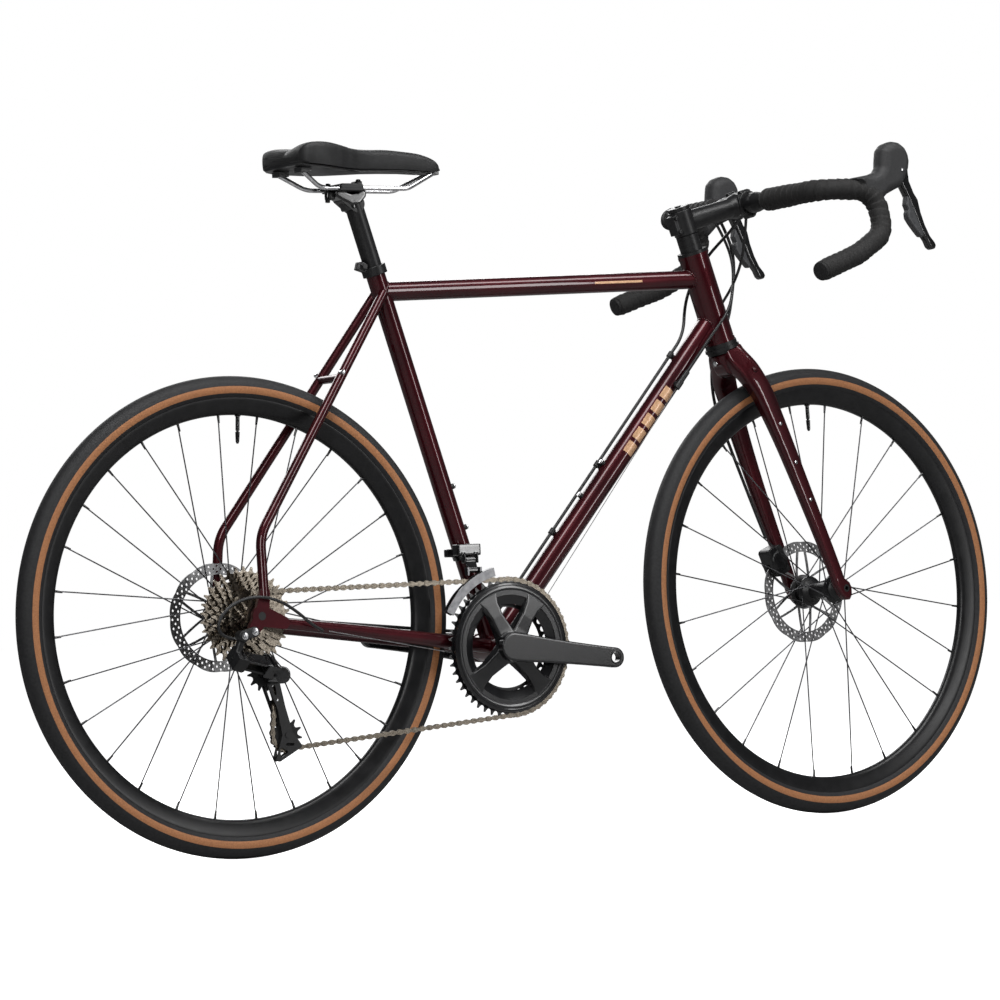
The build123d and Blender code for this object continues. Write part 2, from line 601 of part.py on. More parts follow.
def stem():
    centre = on_axis((S_STEM + S_STEM_TOP) / 2)
    reach = (vec(BAR_CENTRE) - vec(centre)).normalized()
    clamp = rod(on_axis(S_STEM), on_axis(S_STEM_TOP), 18.6)
    start = vec(centre) + reach * 4
    end = vec(BAR_CENTRE) - reach * 14
    body = rod(tuple(start), tuple(end), 16.4)
    end_clamp = disc(*BAR_CENTRE, 21.5, 2 * STEM_CLAMP_HALF)
    ears = Pos(*(vec(centre) - reach * 21)) * Rot(0, 18 - HEAD_ANGLE + 54, 0) * Box(14, 20, 34)
    ears -= Pos(*(vec(centre) - reach * 25)) * Rot(0, 18 - HEAD_ANGLE + 54, 0) * Box(26, 1.6, 60)
    split = Plane(origin=vec(BAR_CENTRE), z_dir=reach)
    front_half = split * Box(80, 80, 60, align=BASE)
    bore = disc(*BAR_CENTRE, BAR_BULGE_R + 0.05, 80)
    steerer_bore = rod(on_axis(S_STEM - 5), on_axis(S_STEM_TOP + 5), STEERER_R + 0.05)
    rear = clamp + body + end_clamp + ears - front_half - bore - steerer_bore
    gap = split * Box(80, 80, 0.8)
    plate = (end_clamp & front_half) - bore - gap
    bolts = []
    up = Vector(0, 1, 0).cross(reach) * -1
    for side in (-1, 1):
        for level in (-1, 1):
            spot = vec(BAR_CENTRE) + up * (level * 18.5) + Vector(0, side * 15, 0)
            boss = rod(tuple(spot - reach * 10), tuple(spot + reach * 7.5), 4.4)
            boss = boss - bore - gap
            rear += boss - front_half
            plate += boss & front_half
            bolts.append(rod(tuple(spot + reach * 7.6), tuple(spot + reach * 10.5), 3.4))
    save("stem", steered(largest(rear)))
    save("stem_faceplate", steered(largest(plate)), *[steered(bolt) for bolt in bolts])


# right half of the handlebar, from the clamp to the end of the drop
BAR_ROUTE = [(406.1, 0, 952.4), (406.1, -196, 952.4), (497, -209, 951), (495, -226, 882),
             (430, -238, 848), (345, -250, 820)]
BAR_RADII = [42, 36, 40, 120]
TAPE_START = 60.0
TAPE_R = 16.2


def handlebar():
    right = bent_tube(BAR_ROUTE, BAR_R, radii=BAR_RADII)
    hollow = bent_tube(BAR_ROUTE, BAR_R - 2.2, radii=BAR_RADII)
    bulge = rod((406.1, -38, 952.4), (406.1, 38, 952.4), BAR_BULGE_R)
    taper = Plane(origin=(406.1, -38, 952.4), z_dir=(0, -1, 0)) * Cone(BAR_BULGE_R, BAR_R, 20, align=BASE)
    bar = right + mirrored(right) + bulge + taper + mirrored(taper) - hollow - mirrored(hollow)
    save("handlebar", steered(largest(bar)))
    route = [(406.1, -TAPE_START, 952.4)] + BAR_ROUTE[1:]
    tape = bent_tube(route, TAPE_R, BAR_R + 0.05, radii=BAR_RADII)
    tip = vec(BAR_ROUTE[-1])
    away = (tip - vec(BAR_ROUTE[-2])).normalized()
    plug = rod(tuple(tip + away * 0.1), tuple(tip + away * 4), TAPE_R - 0.5)
    pieces = both_sides(tape) + both_sides(plug)
    save("bar_tape", *[steered(piece) for piece in pieces])


LEVER_Y = 205.0
LEVER_PIVOT = (553.0, 984.0)
HOOD_OUTLINE = [(457, 969), (480, 972), (505, 978), (511, 990), (511, 1010), (523, 1022), (539, 1026.5),
                (556, 1022), (566, 1012), (568, 996), (563, 972), (548, 955), (520, 947), (500, 930),
                (486, 936), (474, 950)]
LEVER_OUTLINE = [(553, 992), (561, 990), (568, 966), (583, 937), (594, 903), (606, 879), (616, 870),
                 (614, 863), (605, 861), (591, 880), (580, 905), (571, 930), (560, 953), (546, 980)]
PADDLE_OUTLINE = [(552, 950), (558.5, 951), (567.5, 928), (577, 903), (588, 882), (586, 877),
                  (576, 883), (564, 901), (556, 916), (556, 932)]
LEVER_SLOT = [(541, 988), (553, 998), (600, 998), (600, 920), (528, 920), (524, 955)]


def lever_side():
    """The right lever body, brake lever and shift paddle, with the bars straight ahead."""
    body = slab(polygon(*HOOD_OUTLINE), -LEVER_Y, 36)
    body = fillet(body.edges().filter_by(Axis.Y, reverse=True), 6)
    body -= slab(polygon(*LEVER_SLOT), -LEVER_Y, 19)
    body -= bent_tube(BAR_ROUTE, TAPE_R + 0.05, radii=BAR_RADII)
    x, z = LEVER_PIVOT
    pin = disc(x, -LEVER_Y, z, 2.5, 30)
    lever = slab(polygon(*LEVER_OUTLINE), -LEVER_Y, 16) - disc(x, -LEVER_Y, z, 2.55, 40)
    paddle = slab(polygon(*PADDLE_OUTLINE), -LEVER_Y + 1.5, 11)
    paddle += rod((550.4, -LEVER_Y + 1.5, 947.84), (557.4, -LEVER_Y + 1.5, 950.54), 4.2)
    return largest(body), pin, largest(lever), paddle


def levers():
    body, pin, lever, paddle = lever_side()
    housed = body - pin
    pieces = both_sides(largest(housed)) + both_sides(pin)
    save("lever_bodies", *[steered(piece) for piece in pieces])
    save("right_brake_lever", steered(lever))
    save("left_brake_lever", steered(mirrored(lever)))
    save("right_shift_paddle", steered(paddle))
    save("left_shift_paddle", steered(mirrored(paddle)))


# ---- drivetrain ---------------------------------------------------------------------
ROLLER_R = 3.8
TOOTH_HALF = 0.8


def pitch_radius(teeth):
    return PITCH / 2 / sin(pi / teeth)


def toothed_face(teeth, bore, phase, tip=3.6, gap=3.95):
    """A sprocket's face: a roller seat centred on the pitch circle at each tooth gap."""
    radius = pitch_radius(teeth)
    flank = radians(62)
    tip_r = radius + tip
    tip_half = 1.1 / tip_r
    seats = []
    for k in range(teeth):
        a = phase + 2 * pi * k / teeth
        cx, cz = radius * cos(a), radius * sin(a)
        seats.append([(cx + gap * cos(a + pi + turn), cz + gap * sin(a + pi + turn)) for turn in (flank, 0, -flank)])
    edges = []
    for k in range(teeth):
        mid = phase + 2 * pi * (k + 0.5) / teeth
        left = (tip_r * cos(mid - tip_half), tip_r * sin(mid - tip_half))
        right = (tip_r * cos(mid + tip_half), tip_r * sin(mid + tip_half))
        following = seats[(k + 1) % teeth]
        edges += [ThreePointArc(*seats[k]), Line(seats[k][2], left), Line(left, right), Line(right, following[0])]
    return make_face(edges) - Circle(bore)


def sprocket(centre, y, teeth, bore, phase, windows=0):
    face = toothed_face(teeth, bore, phase)
    if windows:
        middle = (bore + pitch_radius(teeth) - 5) / 2
        size = (pitch_radius(teeth) - 5 - bore) / 2 - 3.5
        for k in range(windows):
            a = 2 * pi * k / windows
            face -= Pos(middle * cos(a), middle * sin(a)) * Circle(size)
    return Pos(centre[0], 0, centre[1]) * slab(face, y, 2 * TOOTH_HALF)


RING_CENTRE = (BB_X, BB_HEIGHT)
COG_CENTRE = (REAR_AXLE[0], REAR_AXLE[2])
GUIDE = (-503.0, 266.0)
PULLEY_GAP = 96.0
CAGE_LEAN = 20.0             # degrees, starting value: the chain's length settles it


class Wheel:
    def __init__(self, centre, teeth, sense):
        self.centre, self.teeth, self.sense = centre, teeth, sense
        self.radius = pitch_radius(teeth)

    def point(self, angle):
        return (self.centre[0] + self.radius * cos(angle), self.centre[1] + self.radius * sin(angle))


def belt_contacts(first, second):
    """The angles at which a tangent belt leaves the first wheel and meets the second."""
    dx = second.centre[0] - first.centre[0]
    dz = second.centre[1] - first.centre[1]
    heading = atan2(dz, dx) + asin((first.sense * first.radius - second.sense * second.radius) / hypot(dx, dz))
    return heading - first.sense * pi / 2, heading - second.sense * pi / 2


def loop_rollers(lean):
    """Walk the chain round cog, ring, tension and guide pulleys; return rollers and closing error."""
    tension = (GUIDE[0] + PULLEY_GAP * sin(radians(lean)), GUIDE[1] - PULLEY_GAP * cos(radians(lean)))
    order = [Wheel(COG_CENTRE, COGS[COG_IN_USE], -1), Wheel(RING_CENTRE, BIG_RING, -1),
             Wheel(tension, PULLEY_TEETH, -1), Wheel(GUIDE, PULLEY_TEETH, 1)]
    angle, _ = belt_contacts(order[0], order[1])
    start_angle = angle
    rollers = [order[0].point(angle)]
    phases = [angle]
    for here, there in zip(order, order[1:] + order[:1]):
        _, meet = belt_contacts(here, there)
        here_point = rollers[-1]
        if there is order[0]:
            step = 2 * pi / there.teeth
            back = ceil((start_angle - meet) / (there.sense * step) % there.teeth)
            meet = start_angle - there.sense * step * back
            end = there.point(meet)
            gap = hypot(end[0] - here_point[0], end[1] - here_point[1])
            links = floor(gap / PITCH + 0.5)
            error = gap - links * PITCH
        else:
            end = there.point(meet)
            links = floor(hypot(end[0] - here_point[0], end[1] - here_point[1]) / PITCH)
            for _ in range(12):
                end = there.point(meet)
                gap = hypot(end[0] - here_point[0], end[1] - here_point[1])
                meet += there.sense * (links * PITCH - gap) / there.radius
            end = there.point(meet)
        for k in range(1, links + 1):
            share = k / links
            rollers.append((here_point[0] + (end[0] - here_point[0]) * share,
                            here_point[1] + (end[1] - here_point[1]) * share))
        if there is order[0]:
            for k in range(1, back):
                rollers.append(there.point(meet + there.sense * k * step))
            break
        phases.append(meet)
        leave, _ = belt_contacts(there, order[(order.index(there) + 1) % 4])
        step = 2 * pi / there.teeth
        wrap = ceil(((leave - meet) * there.sense % (2 * pi)) / step)
        for k in range(1, wrap + 1):
            rollers.append(there.point(meet + there.sense * k * step))
    return rollers, error, phases, tension


def settle_chain():
    """Swing the cage until the loop closes on a whole, even number of links."""
    best = None
    steps = 800
    previous = None
    for k in range(steps + 1):
        lean = CAGE_LEAN - 8 + 16 * k / steps
        rollers, error, phases, tension = loop_rollers(lean)
        if previous and previous[1] * error <= 0 and abs(previous[1] - error) < 1 and len(rollers) % 2 == 0:
            share = previous[1] / (previous[1] - error)
            root = previous[0] + (lean - previous[0]) * share
            if best is None or abs(root - CAGE_LEAN) < abs(best - CAGE_LEAN):
                best = root
        previous = (lean, error)
    return best


def flat_link(inner):
    """One link along X, centred between its pins: two side plates, with rollers or pins."""
    plate = SlotCenterToCenter(PITCH, 8.4)
    near, far = (1.1, 1.65) if inner else (1.75, 2.3)
    ends = [Pos(side * PITCH / 2, 0) for side in (-1, 1)]
    for end in ends:
        plate -= end * Circle(1.85 if inner else 1.7)
    solid = None
    for low in (near, -far):
        sheet = Pos(0, 0, low) * extrude(plate, amount=far - near)
        solid = sheet if solid is None else solid + sheet
    for end in ends:
        if inner:
            solid += end * (Cylinder(ROLLER_R, 2.2) - Cylinder(1.85, 3))
        else:
            solid += end * Cylinder(1.75, 4.8)
    return SIDE * solid


def chain(rollers):
    plain = {True: flat_link(True), False: flat_link(False)}
    links = []
    for k, here in enumerate(rollers):
        there = rollers[(k + 1) % len(rollers)]
        tilt = degrees(atan2(there[1] - here[1], there[0] - here[0]))
        middle = ((here[0] + there[0]) / 2, CHAIN_Y, (here[1] + there[1]) / 2)
        links += (Pos(*middle) * Rot(0, -tilt, 0) * plain[k % 2 == 0]).solids()
    save("chain", *links)


CARRIER_ARMS = [117, 56, -49, -142]          # directions of the four spider arms, degrees
BOLT_CIRCLE = 55.0


def crankset(ring_phase):
    big = toothed_face(BIG_RING, 88, ring_phase)
    big_ring = slab(big, CHAIN_Y, 2 * TOOTH_HALF)
    rib = Circle(95.5) - Circle(78)
    for direction in CARRIER_ARMS:
        a = radians(direction)
        rib += hull((BOLT_CIRCLE * cos(a), BOLT_CIRCLE * sin(a), 8), (80 * cos(a), 80 * sin(a), 15))
    for direction in CARRIER_ARMS:
        a = radians(direction)
        rib -= Pos(BOLT_CIRCLE * cos(a), BOLT_CIRCLE * sin(a)) * Circle(4.05)
    cover = slab(rib, CHAIN_Y - 5.2, 6.2)
    web = slab(Circle(95.5) - Circle(87), CHAIN_Y - 1.4, 1.4)
    outer = big_ring + cover + web
    small = toothed_face(SMALL_RING, 60, 0)
    for direction in CARRIER_ARMS:
        a = radians(direction)
        small += hull((BOLT_CIRCLE * cos(a), BOLT_CIRCLE * sin(a), 7), (63 * cos(a), 63 * sin(a), 8))
    for direction in CARRIER_ARMS:
        a = radians(direction)
        small -= Pos(BOLT_CIRCLE * cos(a), BOLT_CIRCLE * sin(a)) * Circle(4.05)
    inner = slab(small, CHAIN_Y + 7.4, 2 * TOOTH_HALF)
    move = Pos(RING_CENTRE[0], 0, RING_CENTRE[1])
    save("outer_chainring", move * outer)
    save("inner_chainring", move * inner)
    spider = Circle(24)
    for direction in CARRIER_ARMS:
        a = radians(direction)
        spider += hull((0, 0, 15), (BOLT_CIRCLE * cos(a), BOLT_CIRCLE * sin(a), 8.5))
    for direction in CARRIER_ARMS:
        a = radians(direction)
        spider -= Pos(BOLT_CIRCLE * cos(a), BOLT_CIRCLE * sin(a)) * Circle(4.05)
    hub = slab(Circle(22), -53.25, 14.5) + slab(spider, CHAIN_Y + 2.2, 7.8)
    bolts = []
    for direction in CARRIER_ARMS:
        a = radians(direction)
        spot = (BOLT_CIRCLE * cos(a), BOLT_CIRCLE * sin(a))
        bolts.append(move * slab(Pos(*spot) * Circle(4.0), CHAIN_Y + 0.6, 17))
    drop = radians(CRANK_DROP)
    pedal = (CRANK_LENGTH * cos(drop), -CRANK_LENGTH * sin(drop))
    spindle = slab(Circle(SPINDLE_R), 4.5, 101) - slab(Circle(9.5), 4.5, 200)
    arm = crank_arm(pedal, -67)
    save("right_crank", move * hub, move * arm, move * spindle, *bolts)
    left_arm = crank_arm((-pedal[0], -pedal[1]), 67)
    left = left_arm + slab(Circle(20), 55, 12) - slab(Circle(SPINDLE_R + 0.05), 50, 20)
    cap = slab(Circle(9), 60, 6)
    save("left_crank", move * (left + cap))


PEDAL_R = 7.14
CRANK_THICK = 13.0


def crank_arm(pedal, y):
    arm = slab(hull((0, 0, 21), (*pedal, 15.5)), y, CRANK_THICK)
    arm = chamfer(arm.faces().filter_by(Axis.Y).edges(), 2)
    return arm - slab(Pos(*pedal) * Circle(PEDAL_R), y, 40)


def cassette(cog_phase):
    pieces = []
    for k, teeth in enumerate(COGS):
        y = CHAIN_Y + COG_STEP * (k - COG_IN_USE)
        phase = cog_phase if k == COG_IN_USE else 0.1 * k
        pieces.append(sprocket(COG_CENTRE, y, teeth, FREEHUB_R + 0.05, phase, 6 if teeth > 20 else 0))
    low = CHAIN_Y - COG_STEP * COG_IN_USE - TOOTH_HALF
    for k in range(len(COGS) - 1):
        y = CHAIN_Y + COG_STEP * (k - COG_IN_USE + 0.5)
        pieces.append(disc(COG_CENTRE[0], y, COG_CENTRE[1], FREEHUB_R + 3, COG_STEP - 2 * TOOTH_HALF - 0.02,
                           FREEHUB_R + 0.05))
    pieces.append(disc(COG_CENTRE[0], low - 0.75, COG_CENTRE[1], 18.5, 1.4, 12))
    save("cassette_sprockets", *pieces)
    save("freehub_body", rod((COG_CENTRE[0], low + 0.1, COG_CENTRE[1]), (COG_CENTRE[0], -24.3, COG_CENTRE[1]),
                             FREEHUB_R, AXLE_R + 0.06))


FREEHUB_R = 16.8

# ---- rear derailleur ----------------------------------------------------------------
LINK = vec((0.964, 0.133, -0.232)).normalized()        # from the B knuckle to the P knuckle
SLANT = vec((0.0534, 0.7549, 0.6547))                  # direction of the four pivots
SLANT = (SLANT - LINK * SLANT.dot(LINK)).normalized()
ASIDE = SLANT.cross(LINK).normalized()                 # way the P knuckle moves to lower gears
LINK_LENGTH = 44.0
LINK_GAP = 14.0
P_AXIS = (-494.0, 263.0)
P_LINK = vec((-512.0, -80.0, 282.0))
B_LINK = P_LINK - LINK * LINK_LENGTH
EAR = 13.4                                             # distance of the ears from the links' middle


def across_pivots(point, radius, half, bore=0.0):
    return rod(tuple(point - SLANT * half), tuple(point + SLANT * half), radius, bore)


def link_plate(start, end, radius, half, thick):
    """A link: a barrel at each end, joined by a flat web."""
    plane = Plane(origin=tuple((start + end) * 0.5), x_dir=LINK, z_dir=ASIDE)
    web = plane * Box((end - start).length, 2 * half, thick)
    body = web + across_pivots(start, radius, half) + across_pivots(end, radius, half)
    for point in (start, end):
        body -= across_pivots(point, 1.55, half + 5)
    return body


def ear_pair(points, radius):
    """Two flat ears that hold the ends of the link pins."""
    ears = None
    for side in (-1, 1):
        for point in points:
            ear = rod(tuple(point + SLANT * (side * EAR - 1.5)), tuple(point + SLANT * (side * EAR + 1.5)), radius)
            ears = ear if ears is None else ears + ear
        middle = (points[0] + points[1]) * 0.5 + SLANT * (side * EAR)
        ears += Plane(origin=tuple(middle), x_dir=ASIDE, z_dir=SLANT) * Box(LINK_GAP, 2 * radius, 3)
    for point in points:
        ears += across_pivots(point, 1.5, EAR + 1.4)
    return ears


def rear_derailleur(tension, guide_phase, tension_phase):
    b_points = [B_LINK, B_LINK + ASIDE * LINK_GAP]
    p_points = [P_LINK, P_LINK + ASIDE * LINK_GAP]
    half = EAR - 1.5 - RUN
    save("rd_outer_link", link_plate(b_points[0], p_points[0], 3.8, half, 3.6))
    save("rd_inner_link", link_plate(b_points[1], p_points[1], 3.8, half, 3.6))
    middle = (b_points[0] + b_points[1]) * 0.5
    back = Plane(origin=tuple(middle - LINK * 10.5), x_dir=ASIDE, z_dir=SLANT)
    block = back * Box(LINK_GAP + 9, 9, 2 * EAR + 3)
    ears_b = ear_pair(b_points, 5)
    for side in (-1, 1):
        ears_b += Plane(origin=tuple(middle - LINK * 5 + SLANT * (side * EAR)), x_dir=ASIDE,
                        z_dir=SLANT) * Box(LINK_GAP + 9, 10, 3)
    outer_y = -(REAR_OLD / 2 + DROPOUT_THICK)
    bracket = slab(hull((*HANGER_BOLT, 7.5), (*B_BOLT, 7.5)), outer_y - 3.2, 6)
    barrel = rod((B_BOLT[0], outer_y - 0.2, B_BOLT[1]), (B_BOLT[0], outer_y - 16, B_BOLT[1]), 8.5)
    neck = rod((B_BOLT[0], outer_y - 9, B_BOLT[1]), tuple(middle - LINK * 11), 6)
    bolt = rod((HANGER_BOLT[0], outer_y - 6.3, HANGER_BOLT[1]), (HANGER_BOLT[0], outer_y - 9, HANGER_BOLT[1]), 5.5)
    save("rd_b_knuckle", largest(block + ears_b + bracket + barrel + neck + bolt))
    x, z = P_AXIS
    body = rod((x, -90, z), (x, CAGE_OUTER_Y - 1.0, z), 12.5)
    p_middle = (p_points[0] + p_points[1]) * 0.5
    front = Plane(origin=tuple(p_middle + LINK * 9.5), x_dir=ASIDE, z_dir=SLANT)
    web = front * Box(LINK_GAP + 8, 7, 2 * EAR + 3)
    ears_p = ear_pair(p_points, 5)
    for side in (-1, 1):
        ears_p += Plane(origin=tuple(p_middle + LINK * 5 + SLANT * (side * EAR)), x_dir=ASIDE,
                        z_dir=SLANT) * Box(LINK_GAP + 8, 10, 3)
    limit = Pos(x, CAGE_OUTER_Y + 40, z) * Box(300, 82, 300)
    knuckle = body + web + ears_p
    save("rd_p_knuckle", largest(knuckle - (limit - Pos(x, CAGE_OUTER_Y, z) * Box(1, 1, 1))))
    cage(tension)
    for name, spot, phase in (("guide_pulley", GUIDE, guide_phase), ("tension_pulley", tension, tension_phase)):
        wheel = sprocket(spot, CHAIN_Y, PULLEY_TEETH, 4.05, phase)
        hub = disc(spot[0], CHAIN_Y, spot[1], 8, 5, 4.05)
        save(name, wheel + hub)


CAGE_HALF = 4.6                                        # from the chain's plane to the cage plates
CAGE_PLATE = 1.6
CAGE_OUTER_Y = CHAIN_Y - CAGE_HALF - CAGE_PLATE


def cage(tension):
    gx, gz = GUIDE
    tx, tz = tension
    tail = (tx - 15, tz - 33)
    corner = (tx + 18, tz - 16)
    neck = (0.45 * P_AXIS[0] + 0.55 * tx + 2, 0.45 * P_AXIS[1] + 0.55 * tz)
    toe = hull((tx, tz, 9), (*tail, 4.5), (*corner, 4))
    toe -= hull((tx - 2, tz - 13.5, 2), (tx + 8, tz - 13.5, 2))
    toe -= hull((tx - 11, tz - 20, 2), (tx - 11, tz - 29, 2), (tx - 3, tz - 24, 2))
    outer = hull((*P_AXIS, 12), (gx, gz, 8)) + hull((*P_AXIS, 11), (*neck, 6.5)) + hull((*neck, 6.5), (tx, tz, 9))
    outer = outer + toe - hull((P_AXIS[0] + 4, P_AXIS[1] - 17, 2.5), (P_AXIS[0] + 6, P_AXIS[1] - 27, 2))
    outer -= Pos(P_AXIS[0] + 9, P_AXIS[1] - 36) * Circle(1.8)
    inner = hull((gx, gz, 11), (*P_AXIS, 7)) + hull((gx, gz, 7), (tx, tz, 8)) + toe
    inner -= hull((gx + 8, gz - 22, 2), (gx + 13, gz - 38, 2))
    plates = slab(outer, CHAIN_Y - CAGE_HALF - CAGE_PLATE / 2, CAGE_PLATE)
    plates += slab(inner, CHAIN_Y + CAGE_HALF + CAGE_PLATE / 2, CAGE_PLATE)
    width = 2 * CAGE_HALF + 2 * CAGE_PLATE
    for x, z in ((gx, gz), (tx, tz)):
        plates += disc(x, CHAIN_Y, z, 4.0, width)
    plates += disc(tx, CAGE_OUTER_Y - 0.4, tz, 4.4, 1.2)
    plates += disc(*[tail[0], CHAIN_Y, tail[1]], 3.0, width)
    save("rd_cage", largest(plates))


# ---- front derailleur ---------------------------------------------------------------
FD_PIVOT = (-140.0, -31.0, 418.0)
FD_CAGE_PIVOT = (-140.0, -37.0, 401.0)
FD_LINK_HALF = 9.0


def fd_rod(point, radius, half, bore=0.0):
    x, y, z = point
    return rod((x - half, y, z), (x + half, y, z), radius, bore)


def front_derailleur():
    band = rod(seat_axis(420), seat_axis(436), 17.0, SEAT_TUBE_R + 0.0)
    cx, _, cz = seat_axis(428)
    ear = Pos(cx - 22, 2, cz) * Box(14, 10, 12) - rod(seat_axis(400), seat_axis(460), 16)
    body = Pos(-140, -22.5, 432) * Box(40, 17, 17) - rod(seat_axis(380), seat_axis(480), SEAT_TUBE_R)
    ears = None
    for side in (-1, 1):
        ear_x = FD_PIVOT[0] + side * (FD_LINK_HALF + RUN + 1.5)
        block = Pos(ear_x, FD_PIVOT[1], FD_PIVOT[2] + 1) * Box(3, 10, 14)
        ears = block if ears is None else ears + block
    clamp = band + ear + body + ears + fd_rod(FD_PIVOT, 1.5, FD_LINK_HALF + 2)
    save("fd_clamp", largest(clamp))
    start, end = vec(FD_PIVOT), vec(FD_CAGE_PIVOT)
    plane = Plane(origin=tuple((start + end) * 0.5), x_dir=(1, 0, 0), z_dir=Vector(1, 0, 0).cross(end - start))
    web = plane * Box(2 * FD_LINK_HALF, (end - start).length, 3.0)
    link = web + fd_rod(FD_PIVOT, 3.4, FD_LINK_HALF) + fd_rod(FD_CAGE_PIVOT, 3.4, FD_LINK_HALF)
    link -= fd_rod(FD_PIVOT, 1.55, 20)
    link -= fd_rod(FD_CAGE_PIVOT, 1.55, 20)
    save("fd_link", largest(link))
    fd_cage()


FD_CAGE_IN, FD_CAGE_OUT = 108.0, 121.0
FD_CAGE_FROM, FD_CAGE_TO = 101.0, 152.0


def arc_band(inner, outer, low, high):
    a, b = radians(low), radians(high)
    m = (a + b) / 2
    return make_face([
        ThreePointArc((outer * cos(a), outer * sin(a)), (outer * cos(m), outer * sin(m)), (outer * cos(b), outer * sin(b))),
        Line((outer * cos(b), outer * sin(b)), (inner * cos(b), inner * sin(b))),
        ThreePointArc((inner * cos(b), inner * sin(b)), (inner * cos(m), inner * sin(m)), (inner * cos(a), inner * sin(a))),
        Line((inner * cos(a), inner * sin(a)), (outer * cos(a), outer * sin(a)))])


def fd_cage():
    band = arc_band(FD_CAGE_IN, FD_CAGE_OUT, FD_CAGE_FROM, FD_CAGE_TO)
    outer_y, inner_y = CHAIN_Y - 4.6, CHAIN_Y + 4.6
    plates = slab(band, outer_y, 1.4) + slab(band, inner_y, 1.4)
    top = arc_band(FD_CAGE_OUT - 1.6, FD_CAGE_OUT, FD_CAGE_FROM, FD_CAGE_FROM + 13)
    tail = arc_band(FD_CAGE_IN + 1, FD_CAGE_OUT - 2, FD_CAGE_TO - 3, FD_CAGE_TO)
    bridges = slab(top, CHAIN_Y, 10.6) + slab(tail, CHAIN_Y, 10.6)
    cage_solid = Pos(RING_CENTRE[0], 0, RING_CENTRE[1]) * (plates + bridges)
    ears = None
    x, y, z = FD_CAGE_PIVOT
    for side in (-1, 1):
        ear = Pos(x + side * (FD_LINK_HALF + RUN + 1.5), y - 2.4, z - 1) * Box(3, 9, 12)
        ears = ear if ears is None else ears + ear
    ears += fd_rod(FD_CAGE_PIVOT, 1.5, FD_LINK_HALF + 2)
    save("fd_cage", largest(cage_solid + ears))


# ---- seat ---------------------------------------------------------------------------
POST_TOP = 948.0
TILT_PIVOT = (-311.0, 0, 962.0)
RAIL_Y = 22.0
RAIL_Z = 968.0
RAIL_R = 3.5
# saddle stations from nose to tail: x, half width, top, bottom
SADDLE = [(-148, 9, 1014, 1002), (-160, 19, 1021, 997), (-185, 22, 1027, 995), (-240, 25, 1028, 994),
          (-290, 36, 1030, 993), (-335, 58, 1035, 992), (-375, 72, 1037, 990), (-402, 72, 1033, 991),
          (-413, 62, 1026, 998)]


def saddle_loft(stations, lift, drop, shrink):
    sections = []
    for x, half, top, bottom in stations:
        height = top - lift - (bottom - drop)
        width = 2 * (half - shrink)
        radius = 0.42 * min(height, width)
        face = RectangleRounded(width, height, radius)
        middle = (top - lift + bottom - drop) / 2
        sections.append(Plane(origin=(x, 0, middle), x_dir=(0, 1, 0), z_dir=(-1, 0, 0)) * face)
    return loft(sections, ruled=True)


def seat():
    lean = radians(SEAT_ANGLE)
    post = rod(seat_axis(745), seat_axis(POST_TOP), POST_R, POST_R - 2.2)
    top = seat_axis(POST_TOP)
    x, _, z = TILT_PIVOT
    neck = hull((top[0], top[2] - 2, 12.5), (x - 4, z - 8, 7))
    head = slab(neck, 0, 26) - disc(x, 0, z, 13.3, 60)
    post = post + head
    save("seatpost", largest(post))
    cradle = disc(x, 0, z, 13, 26)
    plate = Pos(x, 0, RAIL_Z) * Box(40, 2 * RAIL_Y + 12, 12)
    plate -= Pos(x, 0, RAIL_Z - 6) * Box(60, 34, 12)
    cradle = (cradle & Pos(x, 0, z - 2) * Box(40, 60, 22)) + plate
    for side in (-1, 1):
        cradle -= rod((x - 60, side * RAIL_Y, RAIL_Z), (x + 60, side * RAIL_Y, RAIL_Z), RAIL_R + 0.06)
    save("saddle_clamp", largest(cradle))
    base = saddle_loft([(x, half - 4, bottom + 4, bottom) for x, half, _, bottom in SADDLE[1:-1]], 0, 3.0, 0)
    rails = []
    for side in (-1, 1):
        route = [(-160, side * 12, 996), (-214, side * RAIL_Y, RAIL_Z), (-362, side * RAIL_Y, RAIL_Z),
                 (-396, side * 34, 992)]
        rails.append(bent_tube(route, RAIL_R, radii=[35, 35]))
    pad = saddle_loft(SADDLE, 0, -4.2, 0)
    pad_clear = saddle_loft([(x, half + 2, bottom + 4.15, bottom - 20) for x, half, _, bottom in SADDLE], 0, 0, 0)
    save("saddle_pad", largest(pad - rails[0] - rails[1]))
    save("saddle_base", largest(base - rails[0] - rails[1]), *rails)


def main():
    os.makedirs("parts", exist_ok=True)
    lean = settle_chain()
    rollers, error, phases, tension = loop_rollers(lean)
    print("cage lean", round(lean, 3), "links", len(rollers), "closing error", round(error, 4))
    print("tension pulley", [round(v, 3) for v in tension])
    main_tubes()
    bottom_bracket()
    seat_stays()
    chain_stays()
    dropouts()
    headset_cups()
    seat_clamp()
    frame_fittings()
    cords()
    brakes()
    wheels()
    thru_axles()
    fork()
    spacers()
    stem()
    handlebar()
    levers()
    chain(rollers)
    crankset(phases[1])
    cassette(phases[0])
    rear_derailleur(tension, phases[3], phases[2])
    front_derailleur()
    seat()


if __name__ == "__main__":
    main()
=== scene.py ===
import json
import math
import bmesh
import bpy
from mathutils import Matrix, Vector

